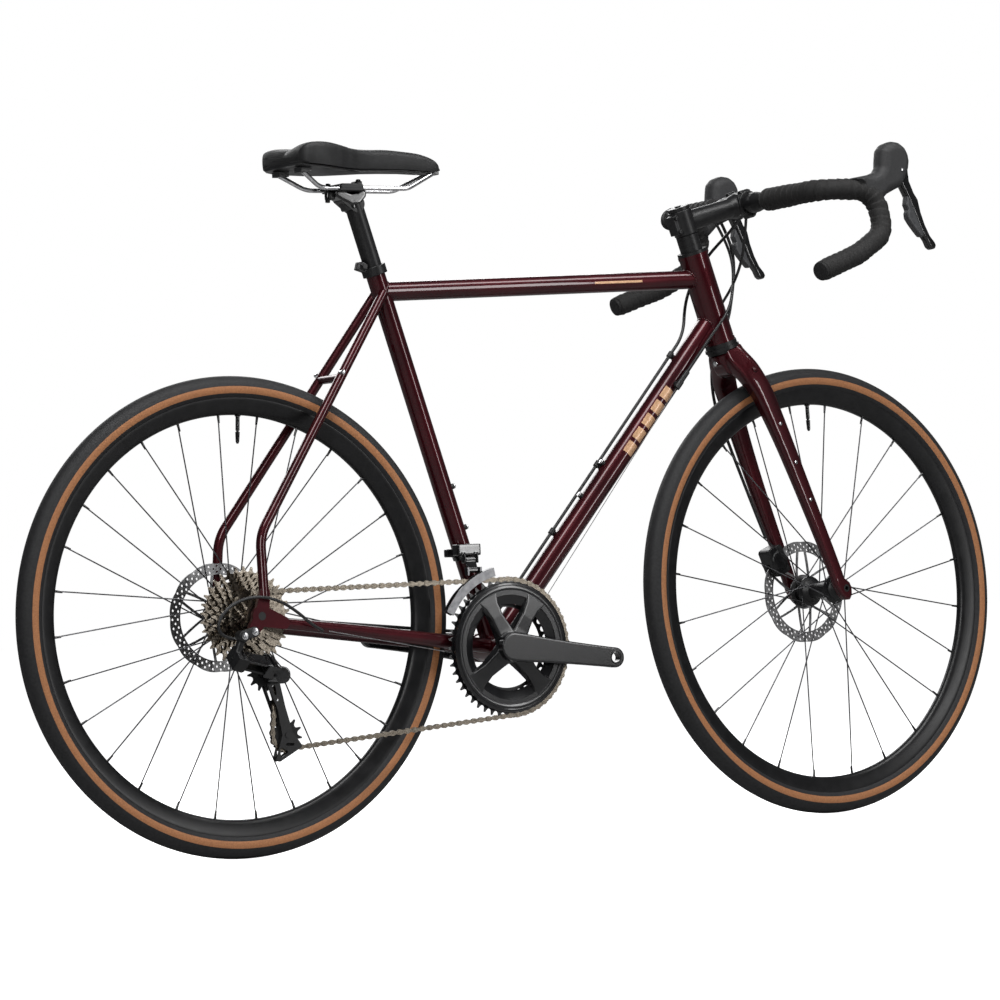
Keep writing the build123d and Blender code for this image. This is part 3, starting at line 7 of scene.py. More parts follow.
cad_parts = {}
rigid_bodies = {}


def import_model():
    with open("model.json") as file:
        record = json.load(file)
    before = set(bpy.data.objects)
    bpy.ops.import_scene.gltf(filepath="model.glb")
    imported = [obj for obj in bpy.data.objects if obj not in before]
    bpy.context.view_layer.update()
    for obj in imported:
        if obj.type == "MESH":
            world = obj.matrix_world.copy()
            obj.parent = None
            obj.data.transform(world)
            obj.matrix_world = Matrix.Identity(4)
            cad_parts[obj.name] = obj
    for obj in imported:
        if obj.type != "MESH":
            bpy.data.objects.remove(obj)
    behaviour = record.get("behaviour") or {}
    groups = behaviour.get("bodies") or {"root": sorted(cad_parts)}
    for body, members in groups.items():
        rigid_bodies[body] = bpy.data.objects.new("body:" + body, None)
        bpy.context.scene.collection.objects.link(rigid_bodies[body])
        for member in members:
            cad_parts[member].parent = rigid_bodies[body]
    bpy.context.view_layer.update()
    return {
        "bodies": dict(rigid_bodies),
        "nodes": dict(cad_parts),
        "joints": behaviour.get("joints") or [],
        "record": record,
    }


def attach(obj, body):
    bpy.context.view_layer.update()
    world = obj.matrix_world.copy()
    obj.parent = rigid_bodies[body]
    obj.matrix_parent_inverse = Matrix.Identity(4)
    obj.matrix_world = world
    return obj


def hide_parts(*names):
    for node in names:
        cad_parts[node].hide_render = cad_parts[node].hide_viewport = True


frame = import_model()
NODES = frame["nodes"]

# ---- geometry shared with the CAD, in metres ----------------------------------------
MM = 0.001
REAR = Vector((-0.5175, 0, 0.348))
FRONT = Vector((0.5175, 0, 0.348))
BB = Vector((-0.089, 0, 0.285))
HEAD = math.radians(72)
SEAT = math.radians(72.7)
STEER_REST = math.radians(5.6)
UP_AXIS = Vector((-math.cos(HEAD), 0, math.sin(HEAD)))
AHEAD = Vector((math.sin(HEAD), 0, math.cos(HEAD)))
FOOT = FRONT - AHEAD * 0.042
STEER = Matrix.Translation(FOOT) @ Matrix.Rotation(STEER_REST, 4, UP_AXIS) @ Matrix.Translation(-FOOT)


def joint(name):
    return [j for j in frame["joints"] if j["name"] == name][0]


# ---- materials ----------------------------------------------------------------------
def new_material(name, color, rough, metal=0.0, coat=0.0, coat_rough=0.05, spec=0.5):
    mat = bpy.data.materials.new(name)
    mat.use_nodes = True
    bsdf = mat.node_tree.nodes["Principled BSDF"]
    bsdf.inputs["Base Color"].default_value = (*color, 1)
    bsdf.inputs["Roughness"].default_value = rough
    bsdf.inputs["Metallic"].default_value = metal
    bsdf.inputs["Coat Weight"].default_value = coat
    bsdf.inputs["Coat Roughness"].default_value = coat_rough
    bsdf.inputs["Specular IOR Level"].default_value = spec
    return mat, bsdf


def node(mat, kind, **values):
    made = mat.node_tree.nodes.new(kind)
    for key, value in values.items():
        if key in made.inputs.keys():
            made.inputs[key].default_value = value
        else:
            setattr(made, key, value)
    return made


def link(mat, a, out, b, into):
    mat.node_tree.links.new(a.outputs[out], b.inputs[into])


def noise(mat, scale, detail=4.0):
    coords = node(mat, "ShaderNodeTexCoord")
    tex = node(mat, "ShaderNodeTexNoise", Scale=scale, Detail=detail, Roughness=0.55)
    link(mat, coords, "Object", tex, "Vector")
    return tex


def vary_color(mat, bsdf, tex, low, high):
    ramp = node(mat, "ShaderNodeValToRGB")
    ramp.color_ramp.elements[0].position = 0.35
    ramp.color_ramp.elements[1].position = 0.65
    ramp.color_ramp.elements[0].color = (*low, 1)
    ramp.color_ramp.elements[1].color = (*high, 1)
    link(mat, tex, "Fac", ramp, "Fac")
    link(mat, ramp, "Color", bsdf, "Base Color")


def vary_rough(mat, bsdf, tex, low, high):
    ranged = node(mat, "ShaderNodeMapRange")
    ranged.inputs["To Min"].default_value = low
    ranged.inputs["To Max"].default_value = high
    link(mat, tex, "Fac", ranged, "Value")
    link(mat, ranged, "Result", bsdf, "Roughness")


def bump(mat, bsdf, tex, strength, distance, out="Fac"):
    made = node(mat, "ShaderNodeBump")
    made.inputs["Strength"].default_value = strength
    made.inputs["Distance"].default_value = distance
    link(mat, tex, out, made, "Height")
    link(mat, made, "Normal", bsdf, "Normal")


SPREAD = 0.06  # how far the roughness moves either side of its middle


def grey(level, blue=None):
    return level, level, level if blue is None else blue


def plain_mix(name, low, high, rough, metal=0.0, coat=0.0, grain=90.0, bump_by=0.0, spec=0.5):
    """A procedural material: two close tones in a fine noise, with the roughness moving with it."""
    mat, bsdf = new_material(name, high, rough, metal, coat, spec=spec)
    tex = noise(mat, grain)
    vary_color(mat, bsdf, tex, low, high)
    vary_rough(mat, bsdf, tex, max(rough - SPREAD, 0.02), min(rough + SPREAD, 1))
    if bump_by:
        fine = noise(mat, grain * 9, detail=3.0)
        bump(mat, bsdf, fine, bump_by, 0.0004)
    return mat


def paint(name, low, high):
    """Deep candy paint under clear coat, with a faint metal flake."""
    mat, bsdf = new_material(name, high, 0.34, 0.55, 0.55, 0.03, spec=0.2)
    broad = noise(mat, 7, detail=2.0)
    vary_color(mat, bsdf, broad, low, high)
    flake = noise(mat, 2600, detail=1.0)
    vary_rough(mat, bsdf, flake, 0.28, 0.46)
    return mat


PAINT = paint("paint_maroon", (0.026, 0.0009, 0.0028), (0.048, 0.0014, 0.0044))
SATIN = plain_mix("satin_black", grey(0.0050, 0.0054), grey(0.0080, 0.0085), 0.40, 0.0, 0.0, 120, 0.05,
                  spec=0.35)
RIM_BLACK = plain_mix("rim_black", grey(0.0040, 0.0044), grey(0.0070, 0.0076), 0.34, 0.0, 0.0, 60, 0.04,
                      spec=0.3)
GLOSS = plain_mix("gloss_black", grey(0.0035, 0.0038), grey(0.0060, 0.0064), 0.17, 0.0, 0.3, 70, 0.0)
CHARCOAL = plain_mix("charcoal_gloss", grey(0.0030, 0.0035), grey(0.0055, 0.0062), 0.24, 0.0, 0.25, 60, 0.0,
                     spec=0.4)
RUBBER = plain_mix("rubber_black", grey(0.0065, 0.0068), grey(0.0115, 0.0118), 0.66, 0.0, 0.0, 300, 0.25,
                   spec=0.3)
HOOD = plain_mix("hood_rubber", grey(0.019, 0.020), grey(0.030, 0.031), 0.60, 0.0, 0.0, 500, 0.3, spec=0.3)
HOSE = plain_mix("hose_black", grey(0.0065, 0.0070), grey(0.011, 0.0115), 0.36, 0.0, 0.0, 200, 0.05, spec=0.4)
GREY = plain_mix("grey_composite", (0.030, 0.031, 0.033), (0.046, 0.047, 0.050), 0.40, 0.0, 0.0, 200, 0.1,
                 spec=0.4)
STEEL = plain_mix("brushed_steel", grey(0.34, 0.35), grey(0.50, 0.51), 0.30, 1.0, 0.0, 260, 0.1)
CHAINSTEEL = plain_mix("chain_steel", (0.085, 0.073, 0.058), (0.25, 0.22, 0.18), 0.30, 1.0, 0.0, 900, 0.1)
COGSTEEL = plain_mix("cog_steel", (0.11, 0.093, 0.072), (0.33, 0.29, 0.24), 0.28, 1.0, 0.0, 200, 0.1)
SPOKE = plain_mix("spoke_steel", grey(0.055, 0.058), grey(0.095, 0.100), 0.30, 0.9, 0.0, 150, 0.05)
SILVER = plain_mix("silver_alloy", grey(0.52, 0.53), grey(0.70, 0.71), 0.22, 1.0, 0.0, 200, 0.05)
CAGESTEEL = plain_mix("cage_steel", grey(0.10, 0.104), grey(0.17, 0.176), 0.30, 1.0, 0.0, 120, 0.05)
ROTOR = plain_mix("rotor_steel", grey(0.15, 0.152), grey(0.27, 0.273), 0.40, 1.0, 0.0, 160, 0.05)
GOLD = plain_mix("gold_decal", (0.42, 0.24, 0.13), (0.58, 0.35, 0.20), 0.42, 0.3, 0.3, 300, 0.0)

BY_NODE = {"frame_paint": PAINT, "black_metal": SATIN, "black_plastic": RUBBER, "gloss_black": GLOSS,
           "grey_plastic": GREY, "steel": STEEL, "silver": SILVER, "tyre": RUBBER, "rubber": HOSE,
           "tape": RUBBER, "saddle_cover": RUBBER}
SPECIAL = {
    "chain": CHAINSTEEL, "cassette_sprockets": COGSTEEL, "front_spokes": SPOKE, "rear_spokes": SPOKE,
    "front_rim": RIM_BLACK, "rear_rim": RIM_BLACK, "right_crank": CHARCOAL, "left_crank": CHARCOAL,
    "outer_chainring": CHARCOAL, "inner_chainring": SATIN, "lever_bodies": HOOD, "fd_cage": CAGESTEEL,
    "front_rotor": ROTOR, "rear_rotor": ROTOR}
SLOT_OF = {s["node"]: s["material_slot"] for s in frame["record"]["subparts"]}
for name, obj in NODES.items():
    obj.data.materials.clear()
    obj.data.materials.append(SPECIAL.get(name) or BY_NODE[SLOT_OF[name]])


# ---- mesh helpers -------------------------------------------------------------------
def add(name, verts, faces, mats, body, slot, strips=None, smooth=True, place=None, edge=40):
    """A new piece that rides on a body. place is a matrix that carries it to the rest pose."""
    mesh = bpy.data.meshes.new(name)
    mesh.from_pydata([tuple(v) for v in verts], [], faces)
    for mat in mats if isinstance(mats, (list, tuple)) else [mats]:
        mesh.materials.append(mat)
    if strips is not None:
        mesh.polygons.foreach_set("material_index", strips)
    if place is not None:
        mesh.transform(place)
    made = bmesh.new()
    made.from_mesh(mesh)
    bmesh.ops.recalc_face_normals(made, faces=made.faces)
    made.to_mesh(mesh)
    made.free()
    obj = bpy.data.objects.new(name, mesh)
    bpy.context.scene.collection.objects.link(obj)
    if smooth:
        mesh.shade_smooth()
        mesh.set_sharp_from_angle(angle=math.radians(edge))
    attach(obj, body)
    return obj


def merge(*parts):
    verts, faces = [], []
    for part_verts, part_faces in parts:
        base = len(verts)
        verts += [Vector(v) for v in part_verts]
        faces += [tuple(base + i for i in face) for face in part_faces]
    return verts, faces


def joined(name, parts, *rest, **more):
    """One piece made of several closed parts."""
    return add(name, *merge(*parts), *rest, **more)


def skin(rings, count):
    """The faces of a closed body drawn over rings of count points each."""
    faces = []
    for i in range(rings - 1):
        for k in range(count):
            a, b = i * count + k, i * count + (k + 1) % count
            faces.append((a, b, b + count, a + count))
    return faces + [tuple(range(count)), tuple(reversed(range((rings - 1) * count, rings * count)))]


def moved(part, matrix):
    return [matrix @ Vector(v) for v in part[0]], part[1]


def mirrored(part):
    return [Vector((v[0], -v[1], v[2])) for v in part[0]], [tuple(reversed(f)) for f in part[1]]


def turned(profile, steps, wobble=None):
    """A closed profile of (radius, y) in millimetres turned about the Y axis."""
    verts, faces = [], []
    count = len(profile)
    for i in range(steps):
        a = 2 * math.pi * i / steps
        for j, (radius, y) in enumerate(profile):
            r = radius + (wobble(i, j) if wobble else 0)
            verts.append((r * math.cos(a) * MM, y * MM, r * math.sin(a) * MM))
    for i in range(steps):
        for j in range(count):
            a, b = i * count + j, i * count + (j + 1) % count
            c, d = ((i + 1) % steps) * count + (j + 1) % count, ((i + 1) % steps) * count + j
            faces.append((a, b, c, d))
    return verts, faces


def frames(points):
    """Unit tangents and a steady pair of side vectors along a line of points."""
    tangents = []
    for i in range(len(points)):
        tangents.append((points[min(i + 1, len(points) - 1)] - points[max(i - 1, 0)]).normalized())
    side = tangents[0].orthogonal().normalized()
    pairs = []
    for tangent in tangents:
        side = (side - tangent * side.dot(tangent)).normalized()
        pairs.append((side, tangent.cross(side)))
    return pairs


def tube(points, radius, sides=20):
    """A tube along points in metres. radius is a number in millimetres, or a function of (index, angle)."""
    points = [Vector(p) for p in points]
    verts, faces = [], []
    for i, (point, (side, other)) in enumerate(zip(points, frames(points))):
        for k in range(sides):
            a = 2 * math.pi * k / sides
            r = radius(i, a) if callable(radius) else radius
            verts.append(point + (side * math.cos(a) + other * math.sin(a)) * (r * MM))
    for i in range(len(points) - 1):
        for k in range(sides):
            a, b = i * sides + k, i * sides + (k + 1) % sides
            faces.append((a, b, b + sides, a + sides))
    faces.append(tuple(reversed(range(sides))))
    last = (len(points) - 1) * sides
    faces.append(tuple(last + k for k in range(sides)))
    return verts, faces


def bar(start, end, radius, far=None, sides=24):
    """A round bar between two points in millimetres, tapering to the far radius."""
    far = radius if far is None else far
    a, b = Vector(start) * MM, Vector(end) * MM
    return tube([a, b], lambda i, _: radius if i == 0 else far, sides)


def cross_bar(centre, half, radius, sides):
    """A round bar across the bicycle, reaching half its length to either side of the centre."""
    reach = Vector((0, half, 0))
    return bar(centre - reach, centre + reach, radius, sides=sides)


def rounded_bar(start, end, radius, lip, socket=0.0):
    """A round bar with softened ends, and a six-sided socket in its far end where one is given."""
    a, b = Vector(start) * MM, Vector(end) * MM
    way = (b - a).normalized()
    points = [a, a + way * (lip * 0.3 * MM), a + way * (lip * MM), b - way * (lip * MM),
              b - way * (lip * 0.3 * MM), b]
    radii = [radius - lip, radius - lip * 0.3, radius, radius, radius - lip * 0.3, radius - lip]
    if socket:
        points += [b + way * 1e-6, b - way * (socket * 0.9 * MM), b - way * (socket * 0.91 * MM)]
        radii += [socket, socket, 0.05]
    return tube(points, lambda i, _: radii[i], 28)


def prism(outline, low, high):
    """A side-view outline of (x, z) in millimetres made solid between two y values."""
    count = len(outline)
    verts = [Vector((x, y, z)) * MM for y in (low, high) for x, z in outline]
    faces = [tuple(range(count)), tuple(reversed(range(count, 2 * count)))]
    faces += [((i + 1) % count, i, i + count, (i + 1) % count + count) for i in range(count)]
    return verts, faces


def block(centre, size, x_way=(1, 0, 0), z_way=(0, 0, 1)):
    x, z = Vector(x_way).normalized(), Vector(z_way).normalized()
    y = z.cross(x).normalized()
    z = x.cross(y)
    verts = []
    for i in (-0.5, 0.5):
        for j in (-0.5, 0.5):
            for k in (-0.5, 0.5):
                verts.append((Vector(centre) + x * (i * size[0]) + y * (j * size[1]) + z * (k * size[2])) * MM)
    faces = [(0, 1, 3, 2), (4, 6, 7, 5), (0, 4, 5, 1), (2, 3, 7, 6), (0, 2, 6, 4), (1, 5, 7, 3)]
    return verts, faces


def pillow(outline, low, high, edge, steps=5):
    """A prism with rounded rims: slices of the outline, each drawn in and made wider."""
    area = sum(p[0] * q[1] - q[0] * p[1] for p, q in zip(outline, outline[1:] + outline[:1]))
    turn = 1 if area > 0 else -1
    middle, half = (low + high) / 2, abs(high - low) / 2
    slices = []
    count = len(outline)
    for step in range(steps + 1):
        a = math.pi / 2 * step / steps
        inset, reach = edge * (1 - math.cos(a)), half - edge + edge * math.sin(a)
        ring = []
        for i in range(count):
            p, q, r = (Vector(outline[(i + k) % count]) for k in (-1, 0, 1))
            way = ((q - p).normalized() + (r - q).normalized())
            way = way.normalized() if way.length > 1e-6 else (r - q).normalized()
            ring.append(tuple(q + Vector((-way.y, way.x)) * (turn * inset)))
        slices.append(prism(ring, middle - reach, middle + reach))
    return slices


def forged(name, parts, mats, body, slot, grain=1.0, rounds=6, bevel=0.0, place=None, cuts=()):
    """Closed parts fused into one piece with softened edges, as a casting or forging has."""
    obj = joined(name, parts, mats, body, slot, smooth=False)
    if bevel:
        mod = obj.modifiers.new("bevel", "BEVEL")
        mod.width = bevel * MM
        mod.segments = 4
        mod.limit_method = "ANGLE"
        mod.angle_limit = math.radians(35)
        mod.use_clamp_overlap = True
    mod = obj.modifiers.new("fuse", "REMESH")
    mod.mode = "VOXEL"
    mod.voxel_size = grain * MM
    if rounds:
        mod = obj.modifiers.new("soften", "SMOOTH")
        mod.factor = 0.5
        mod.iterations = rounds
    apply_all(obj)
    for cut in cuts:
        cutter = add(name + "_cut", *cut, mats, body, slot, smooth=False)
        mod = obj.modifiers.new("cut", "BOOLEAN")
        mod.operation = "DIFFERENCE"
        mod.solver = "EXACT"
        mod.object = cutter
        apply_all(obj)
        bpy.data.objects.remove(cutter)
    if place is not None:
        obj.data.transform(place)
    obj.data.shade_smooth()
    obj.data.set_sharp_from_angle(angle=math.radians(50))
    return obj


def apply_all(obj):
    bpy.context.view_layer.update()
    graph = bpy.context.evaluated_depsgraph_get()
    fresh = bpy.data.meshes.new_from_object(obj.evaluated_get(graph))
    obj.modifiers.clear()
    old = obj.data
    obj.data = fresh
    bpy.data.meshes.remove(old)


def smooth_between(keys, x):
    """A smooth value at x through sorted (position, value) keys."""
    xs = [k[0] for k in keys]
    ys = [k[1] for k in keys]
    if x <= xs[0]:
        return ys[0]
    if x >= xs[-1]:
        return ys[-1]
    slopes = []
    for i in range(len(xs)):
        if i in (0, len(xs) - 1):
            j = min(i, len(xs) - 2)
            slopes.append((ys[j + 1] - ys[j]) / (xs[j + 1] - xs[j]))
        else:
            slopes.append((ys[i + 1] - ys[i - 1]) / (xs[i + 1] - xs[i - 1]))
    i = max(k for k in range(len(xs) - 1) if xs[k] <= x)
    h = xs[i + 1] - xs[i]
    t = (x - xs[i]) / h
    return ((2 * t**3 - 3 * t**2 + 1) * ys[i] + (t**3 - 2 * t**2 + t) * h * slopes[i]
            + (3 * t**2 - 2 * t**3) * ys[i + 1] + (t**3 - t**2) * h * slopes[i + 1])


def bar_line(corners, radii, step=2.0):
    """Points along the handlebar: straight runs in millimetres joined by arcs of the given radii."""
    corners = [Vector(c) for c in corners]
    line = [corners[0]]
    for i in range(1, len(corners) - 1):
        a = (corners[i - 1] - corners[i]).normalized()
        b = (corners[i + 1] - corners[i]).normalized()
        half = a.angle(b) / 2
        reach = radii[i - 1] / math.tan(half)
        centre = corners[i] + (a + b).normalized() * (radii[i - 1] / math.sin(half))
        start, end = corners[i] + a * reach - centre, corners[i] + b * reach - centre
        turn = start.angle(end)
        axis = start.cross(end).normalized()
        steps = max(int(radii[i - 1] * turn / step), 4)
        for k in range(steps + 1):
            line.append(centre + Matrix.Rotation(turn * k / steps, 3, axis) @ start)
    line.append(corners[-1])
    even = [line[0]]
    for a, b in zip(line, line[1:]):
        pieces = max(int((b - a).length / step), 1)
        even += [a + (b - a) * (k / pieces) for k in range(1, pieces + 1)]
    return [p * MM for p in even]


# ---- wheels -------------------------------------------------------------------------
TYRE_BLACK = plain_mix("tyre_black", grey(0.0085, 0.0092), grey(0.0155, 0.0165), 0.66, 0.0, 0.0, 260, 0.35,
                       spec=0.35)
TYRE_TAN = plain_mix("tyre_tan", (0.25, 0.100, 0.036), (0.35, 0.145, 0.054), 0.62, 0.0, 0.0, 420, 0.35)
# each wheel's place, its number of spokes and the angle of its valve
WHEELS = {
    "front": (STEER @ Matrix.Translation(FRONT), 24, math.atan2(288.0, -2.7)),
    "rear": (Matrix.Translation(REAR), 28, math.atan2(287.0, 15.2))}
RIM_EDGE = 291.3  # the rim's inner radius
TREAD_STEPS = 720
TAN_WALL = (322.3, 331.9)  # the radii between which the tyre's side is tan


def tyre(which, place):
    centre, radius, wall = 329.2, 18.8, 16.4
    outer = [math.radians(a) for a in range(-136, 137, 4)]
    profile = [(centre + radius * math.cos(a), radius * math.sin(a)) for a in outer]
    inner = [math.radians(a) for a in range(134, -135, -16)]
    profile += [(centre + wall * math.cos(a), wall * math.sin(a)) for a in inner]
    mats = []
    for j in range(len(profile)):
        following = profile[(j + 1) % len(profile)]
        r = (profile[j][0] + following[0]) / 2
        side = j < len(outer) - 1 and TAN_WALL[0] < r < TAN_WALL[1]
        mats.append(1 if side else 0)

    def tread(i, j):
        if j >= len(outer):
            return 0.0
        degrees = abs(math.degrees(outer[j]))
        if degrees < 22:
            return -0.25 if (j % 2) else 0.0
        if 44 <= degrees <= 64:
            return 0.15 if (i + j) % 2 else -0.45
        if 66 <= degrees <= 72:
            return -0.5
        return 0.0

    made = add(f"{which}_tyre_tread", *turned(profile, TREAD_STEPS, tread), [TYRE_BLACK, TYRE_TAN],
               f"{which}_wheel", "tyre", strips=mats * TREAD_STEPS, place=place, edge=60)
    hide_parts(f"{which}_tyre")


def rim(which, place):
    half = [(RIM_EDGE, 0), (RIM_EDGE + 0.4, 2.6), (RIM_EDGE + 1.8, 5.2), (RIM_EDGE + 4.2, 7.3), (299.5, 9.0),
            (305, 10.9), (311, 12.6), (315.2, 13.5), (316.6, 13.4), (317.3, 12.8), (317.2, 11.9),
            (314.5, 11.75), (311.5, 11.5), (309.6, 9.0)]
    profile = half + [(r, -y) for r, y in reversed(half[1:])]
    obj = add(f"{which}_rim_hoop", *turned(profile, 360), RIM_BLACK, f"{which}_wheel", "black_metal",
              place=place, edge=50)
    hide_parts(f"{which}_rim")


def nipples(which, place, count, valve):
    parts = []
    for k in range(count):
        side = -1 if k % 2 == 0 else 1
        a = valve + 2 * math.pi * (k + 0.5) / count
        out = Vector((math.cos(a), 0, math.sin(a)))
        base = out * (RIM_EDGE + 2) + Vector((0, side * 1.5, 0))
        tip = out * (RIM_EDGE - 11) + Vector((0, side * 1.8, 0))
        parts.append(bar(base, tip, 2.1, 1.5, 10))
    joined(f"{which}_nipples", parts, GLOSS, f"{which}_wheel", "black_metal", place=place)
    out = Vector((math.cos(valve), 0, math.sin(valve)))

    def at(r):
        return out * (RIM_EDGE + r)

    parts = [bar(at(3), at(-1.5), 4.6, 4.2), bar(at(-1.5), at(-22), 3.0),
             bar(at(-22), at(-24), 2.0), bar(at(-24), at(-38), 3.3, 2.7),
             bar(at(-38), at(-41), 2.7, 1.5)]
    joined(f"{which}_valve", parts, GLOSS, f"{which}_wheel", "black_metal", place=place)


for which, (place, count, valve) in WHEELS.items():
    tyre(which, place)
    rim(which, place)
    nipples(which, place, count, valve)


# ---- handlebar tape, hoods and levers -----------------------------------------------
TAPE = plain_mix("bar_tape_black", (0.0085, 0.0083, 0.0083), (0.0160, 0.0155, 0.0153), 0.74, 0.0, 0.0, 420,
                 0.5, spec=0.3)
BAR_ROUTE = [(406.1, -60, 952.4), (406.1, -196, 952.4), (497, -209, 951), (495, -226, 882),
             (430, -238, 848), (345, -250, 820)]
BAR_RADII = [42, 36, 40, 120]


def bar_tape():
    line = bar_line(BAR_ROUTE, BAR_RADII, 1.5)
    along = [0.0]
    for a, b in zip(line, line[1:]):
        along.append(along[-1] + (b - a).length / MM)
    total = along[-1]
    pitch = 13.0

    def radius(i, a):
        s = along[i]
        base = smooth_between([(0, 15.3), (6, 16.8), (22, 17.2), (45, 16.6), (90, 15.9), (200, 15.4),
                               (total, 15.2)], s)
        wrap = (s / pitch + a / (2 * math.pi)) % 1.0
        ridge = 1.5 * (1 - wrap) ** 0.8 if wrap > 0.08 else 1.5 * (wrap / 0.08) ** 0.7
        drift = 0.22 * math.sin(s * 0.11 + 2 * a) + 0.15 * math.sin(s * 0.37 + a)
        fade = min(s / 5, 1.0, (total - s) / 6)
        return base - 0.35 + (ridge + drift) * max(fade, 0) - (2.2 if s > total - 1.0 else 0)

    right = tube(line, radius, 40)
    tape = joined("tape_wrap", [right, mirrored(right)], TAPE, "steering", "tape", place=STEER, edge=70)
    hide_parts("bar_tape")
    tip = Vector(BAR_ROUTE[-1])
    way = (tip - Vector(BAR_ROUTE[-2])).normalized()
    plug = rounded_bar(tip - way * 1.0, tip + way * 4.0, 14.6, 2.2)
    dish = bar(tip + way * 3.7, tip + way * 4.25, 9.5, 9.0)
    joined("bar_end_plugs", [plug, dish, mirrored(plug), mirrored(dish)], RUBBER, "steering", "tape",
           place=STEER)


HOOD_OUTLINE = [(452, 968), (470, 971), (490, 974.5), (503, 979), (509, 987), (510.5, 1000), (513, 1013),
                (522, 1022), (536, 1026.5), (549, 1025), (560, 1018), (566, 1008), (568, 996), (565.5, 984),
                (559, 971), (550, 957), (535, 951), (519, 944), (505, 932), (497, 926), (490, 930),
                (484, 938), (476, 948), (462, 960)]
LEVER_OUTLINE = [(553, 996), (562, 996), (567.5, 984), (569, 966), (577, 948), (584.5, 938), (589, 918),
                 (596, 899), (605, 882), (614, 872.5), (616.5, 867), (614, 862), (607.5, 860.5), (602, 864),
                 (597, 874), (590, 883), (584, 893), (576, 912), (568, 929), (560.5, 945), (552, 960),
                 (549, 975)]
PADDLE_OUTLINE = [(561, 943), (566, 938), (572, 926), (579, 909), (586, 895), (591, 884), (589, 879.5),
                  (584, 880), (575, 889), (566, 899), (559.5, 908), (559, 916), (561, 921), (557.5, 929)]


def controls():
    hood = pillow(HOOD_OUTLINE, -222, -188, 12)
    hood += [bar((470, -207, 953.5), (500, -206, 957), 14.5, 15.5, 32)]
    for name, place in (("right", STEER), ("left", STEER @ Matrix.Diagonal((1, -1, 1, 1)))):
        made = forged(f"{name}_hood", hood, HOOD, "steering", "rubber", 1.2, 16, place=place)
        if name == "right":
            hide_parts("lever_bodies")
        made = forged(f"{name}_brake_blade", pillow(LEVER_OUTLINE, -212, -198, 3.2, 3), GLOSS,
                      f"{name}_lever", "gloss_black", 0.8, 6, place=place)
        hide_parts(f"{name}_brake_lever")
        made = forged(f"{name}_gear_paddle", pillow(PADDLE_OUTLINE, -214, -201, 2.5, 3), GREY,
                      f"{name}_paddle", "grey_plastic", 0.7, 5, place=place)
        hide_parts(f"{name}_shift_paddle")
        pins = [rounded_bar((546, y, 981.5), (546, tip, 981.5), 2.6, 0.4)
                for y, tip in ((-221, -223.4), (-189, -186.6))]
        joined(f"{name}_pivot_pin", pins, SILVER, "steering", "silver", place=place)


bar_tape()
controls()

# ---- cords: the routes of the CAD, in millimetres, each on one smooth line -----------
DOWN_TOP = Vector((285.0, 0, 719.0))
SHELL = Vector((-89.0, 0, 285.0))
DOWN_WAY = (DOWN_TOP - SHELL).normalized()
DOWN_UP = Vector((-DOWN_WAY.z, 0, DOWN_WAY.x))


def down_point(t, out=0.0, left=0.0):
    return tuple(SHELL + (DOWN_TOP - SHELL) * t + DOWN_UP * out + Vector((0, left, 0)))


def steered(point):
    return tuple((STEER @ (Vector(point) * MM)) / MM)


CLIP = 21.1
REAR_HOSE = [(359, -56, 929), (352, -36, 908), (351, -8, 894), (344, 22, 872), (322, 31, 838), (303, 29, 800),
             down_point(1.04, CLIP, 8), down_point(0.96, CLIP, 8), down_point(0.16, CLIP, 8),
             down_point(0.10, CLIP, 8), (-92, 24, 321), (-122, 26, 310), (-186, 32, 317), (-240, 39.0, 322.9),
             (-430, 63.6, 343.6), (-452, 66.5, 346), (-462, 61, 364)]
FRONT_HOSE = [(397, 57, 929), (414, 56, 896), (414, 50, 858), (404, 45, 815), (392, 43, 770)]
FRONT_HOSE += [steered(p) for p in [(366, 48, 718), (366, 51, 652), (394, 55, 590), (450, 55, 456),
                                    (455, 49, 434)]]
RIGHT_HOUSING = [(366, -57, 926), (368, -48, 893), (374, -26, 856), (374, 4, 820), (356, 27, 782),
                 (326, 30, 745), down_point(0.946, -5, 21.5)]
LEFT_HOUSING = [(386, 57, 930), (396, 44, 898), (389, 18, 862), (370, -8, 824), (346, -29, 785),
                (315, -30, 752), down_point(0.946, -5, -21.5)]
REAR_LOOP = [(-420, -79, 323), (-438, -80, 332), (-461, -82, 351), (-492, -86, 369), (-528, -90, 377),
             (-562, -93, 372), (-588, -94, 356), (-600, -95, 336), (-590, -94, 321), (-572, -92, 318)]


def cord(name, route, radius, mat, body, *nodes):
    data = bpy.data.curves.new(name, "CURVE")
    data.dimensions = "3D"
    data.bevel_depth = radius * MM
    data.bevel_resolution = 5
    data.resolution_u = 16
    line = data.splines.new("NURBS")
    line.points.add(len(route) - 1)
    for point, place in zip(line.points, route):
        point.co = (*(Vector(place) * MM), 1)
    line.order_u = 3
    line.use_endpoint_u = True
    data.use_fill_caps = True
    data.materials.append(mat)
    obj = bpy.data.objects.new(name, data)
    bpy.context.scene.collection.objects.link(obj)
    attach(obj, body)
    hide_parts(*nodes)


cord("hose_rear_brake", REAR_HOSE, 2.5, HOSE, "frame", "rear_brake_hose")
cord("hose_front_brake", FRONT_HOSE, 2.5, HOSE, "steering", "front_brake_hose")
cord("housing_right", RIGHT_HOUSING, 2.25, HOSE, "frame", "shift_cables")
cord("housing_left", LEFT_HOUSING, 2.25, HOSE, "frame")
cord("housing_rear_loop", REAR_LOOP, 2.25, HOSE, "frame")


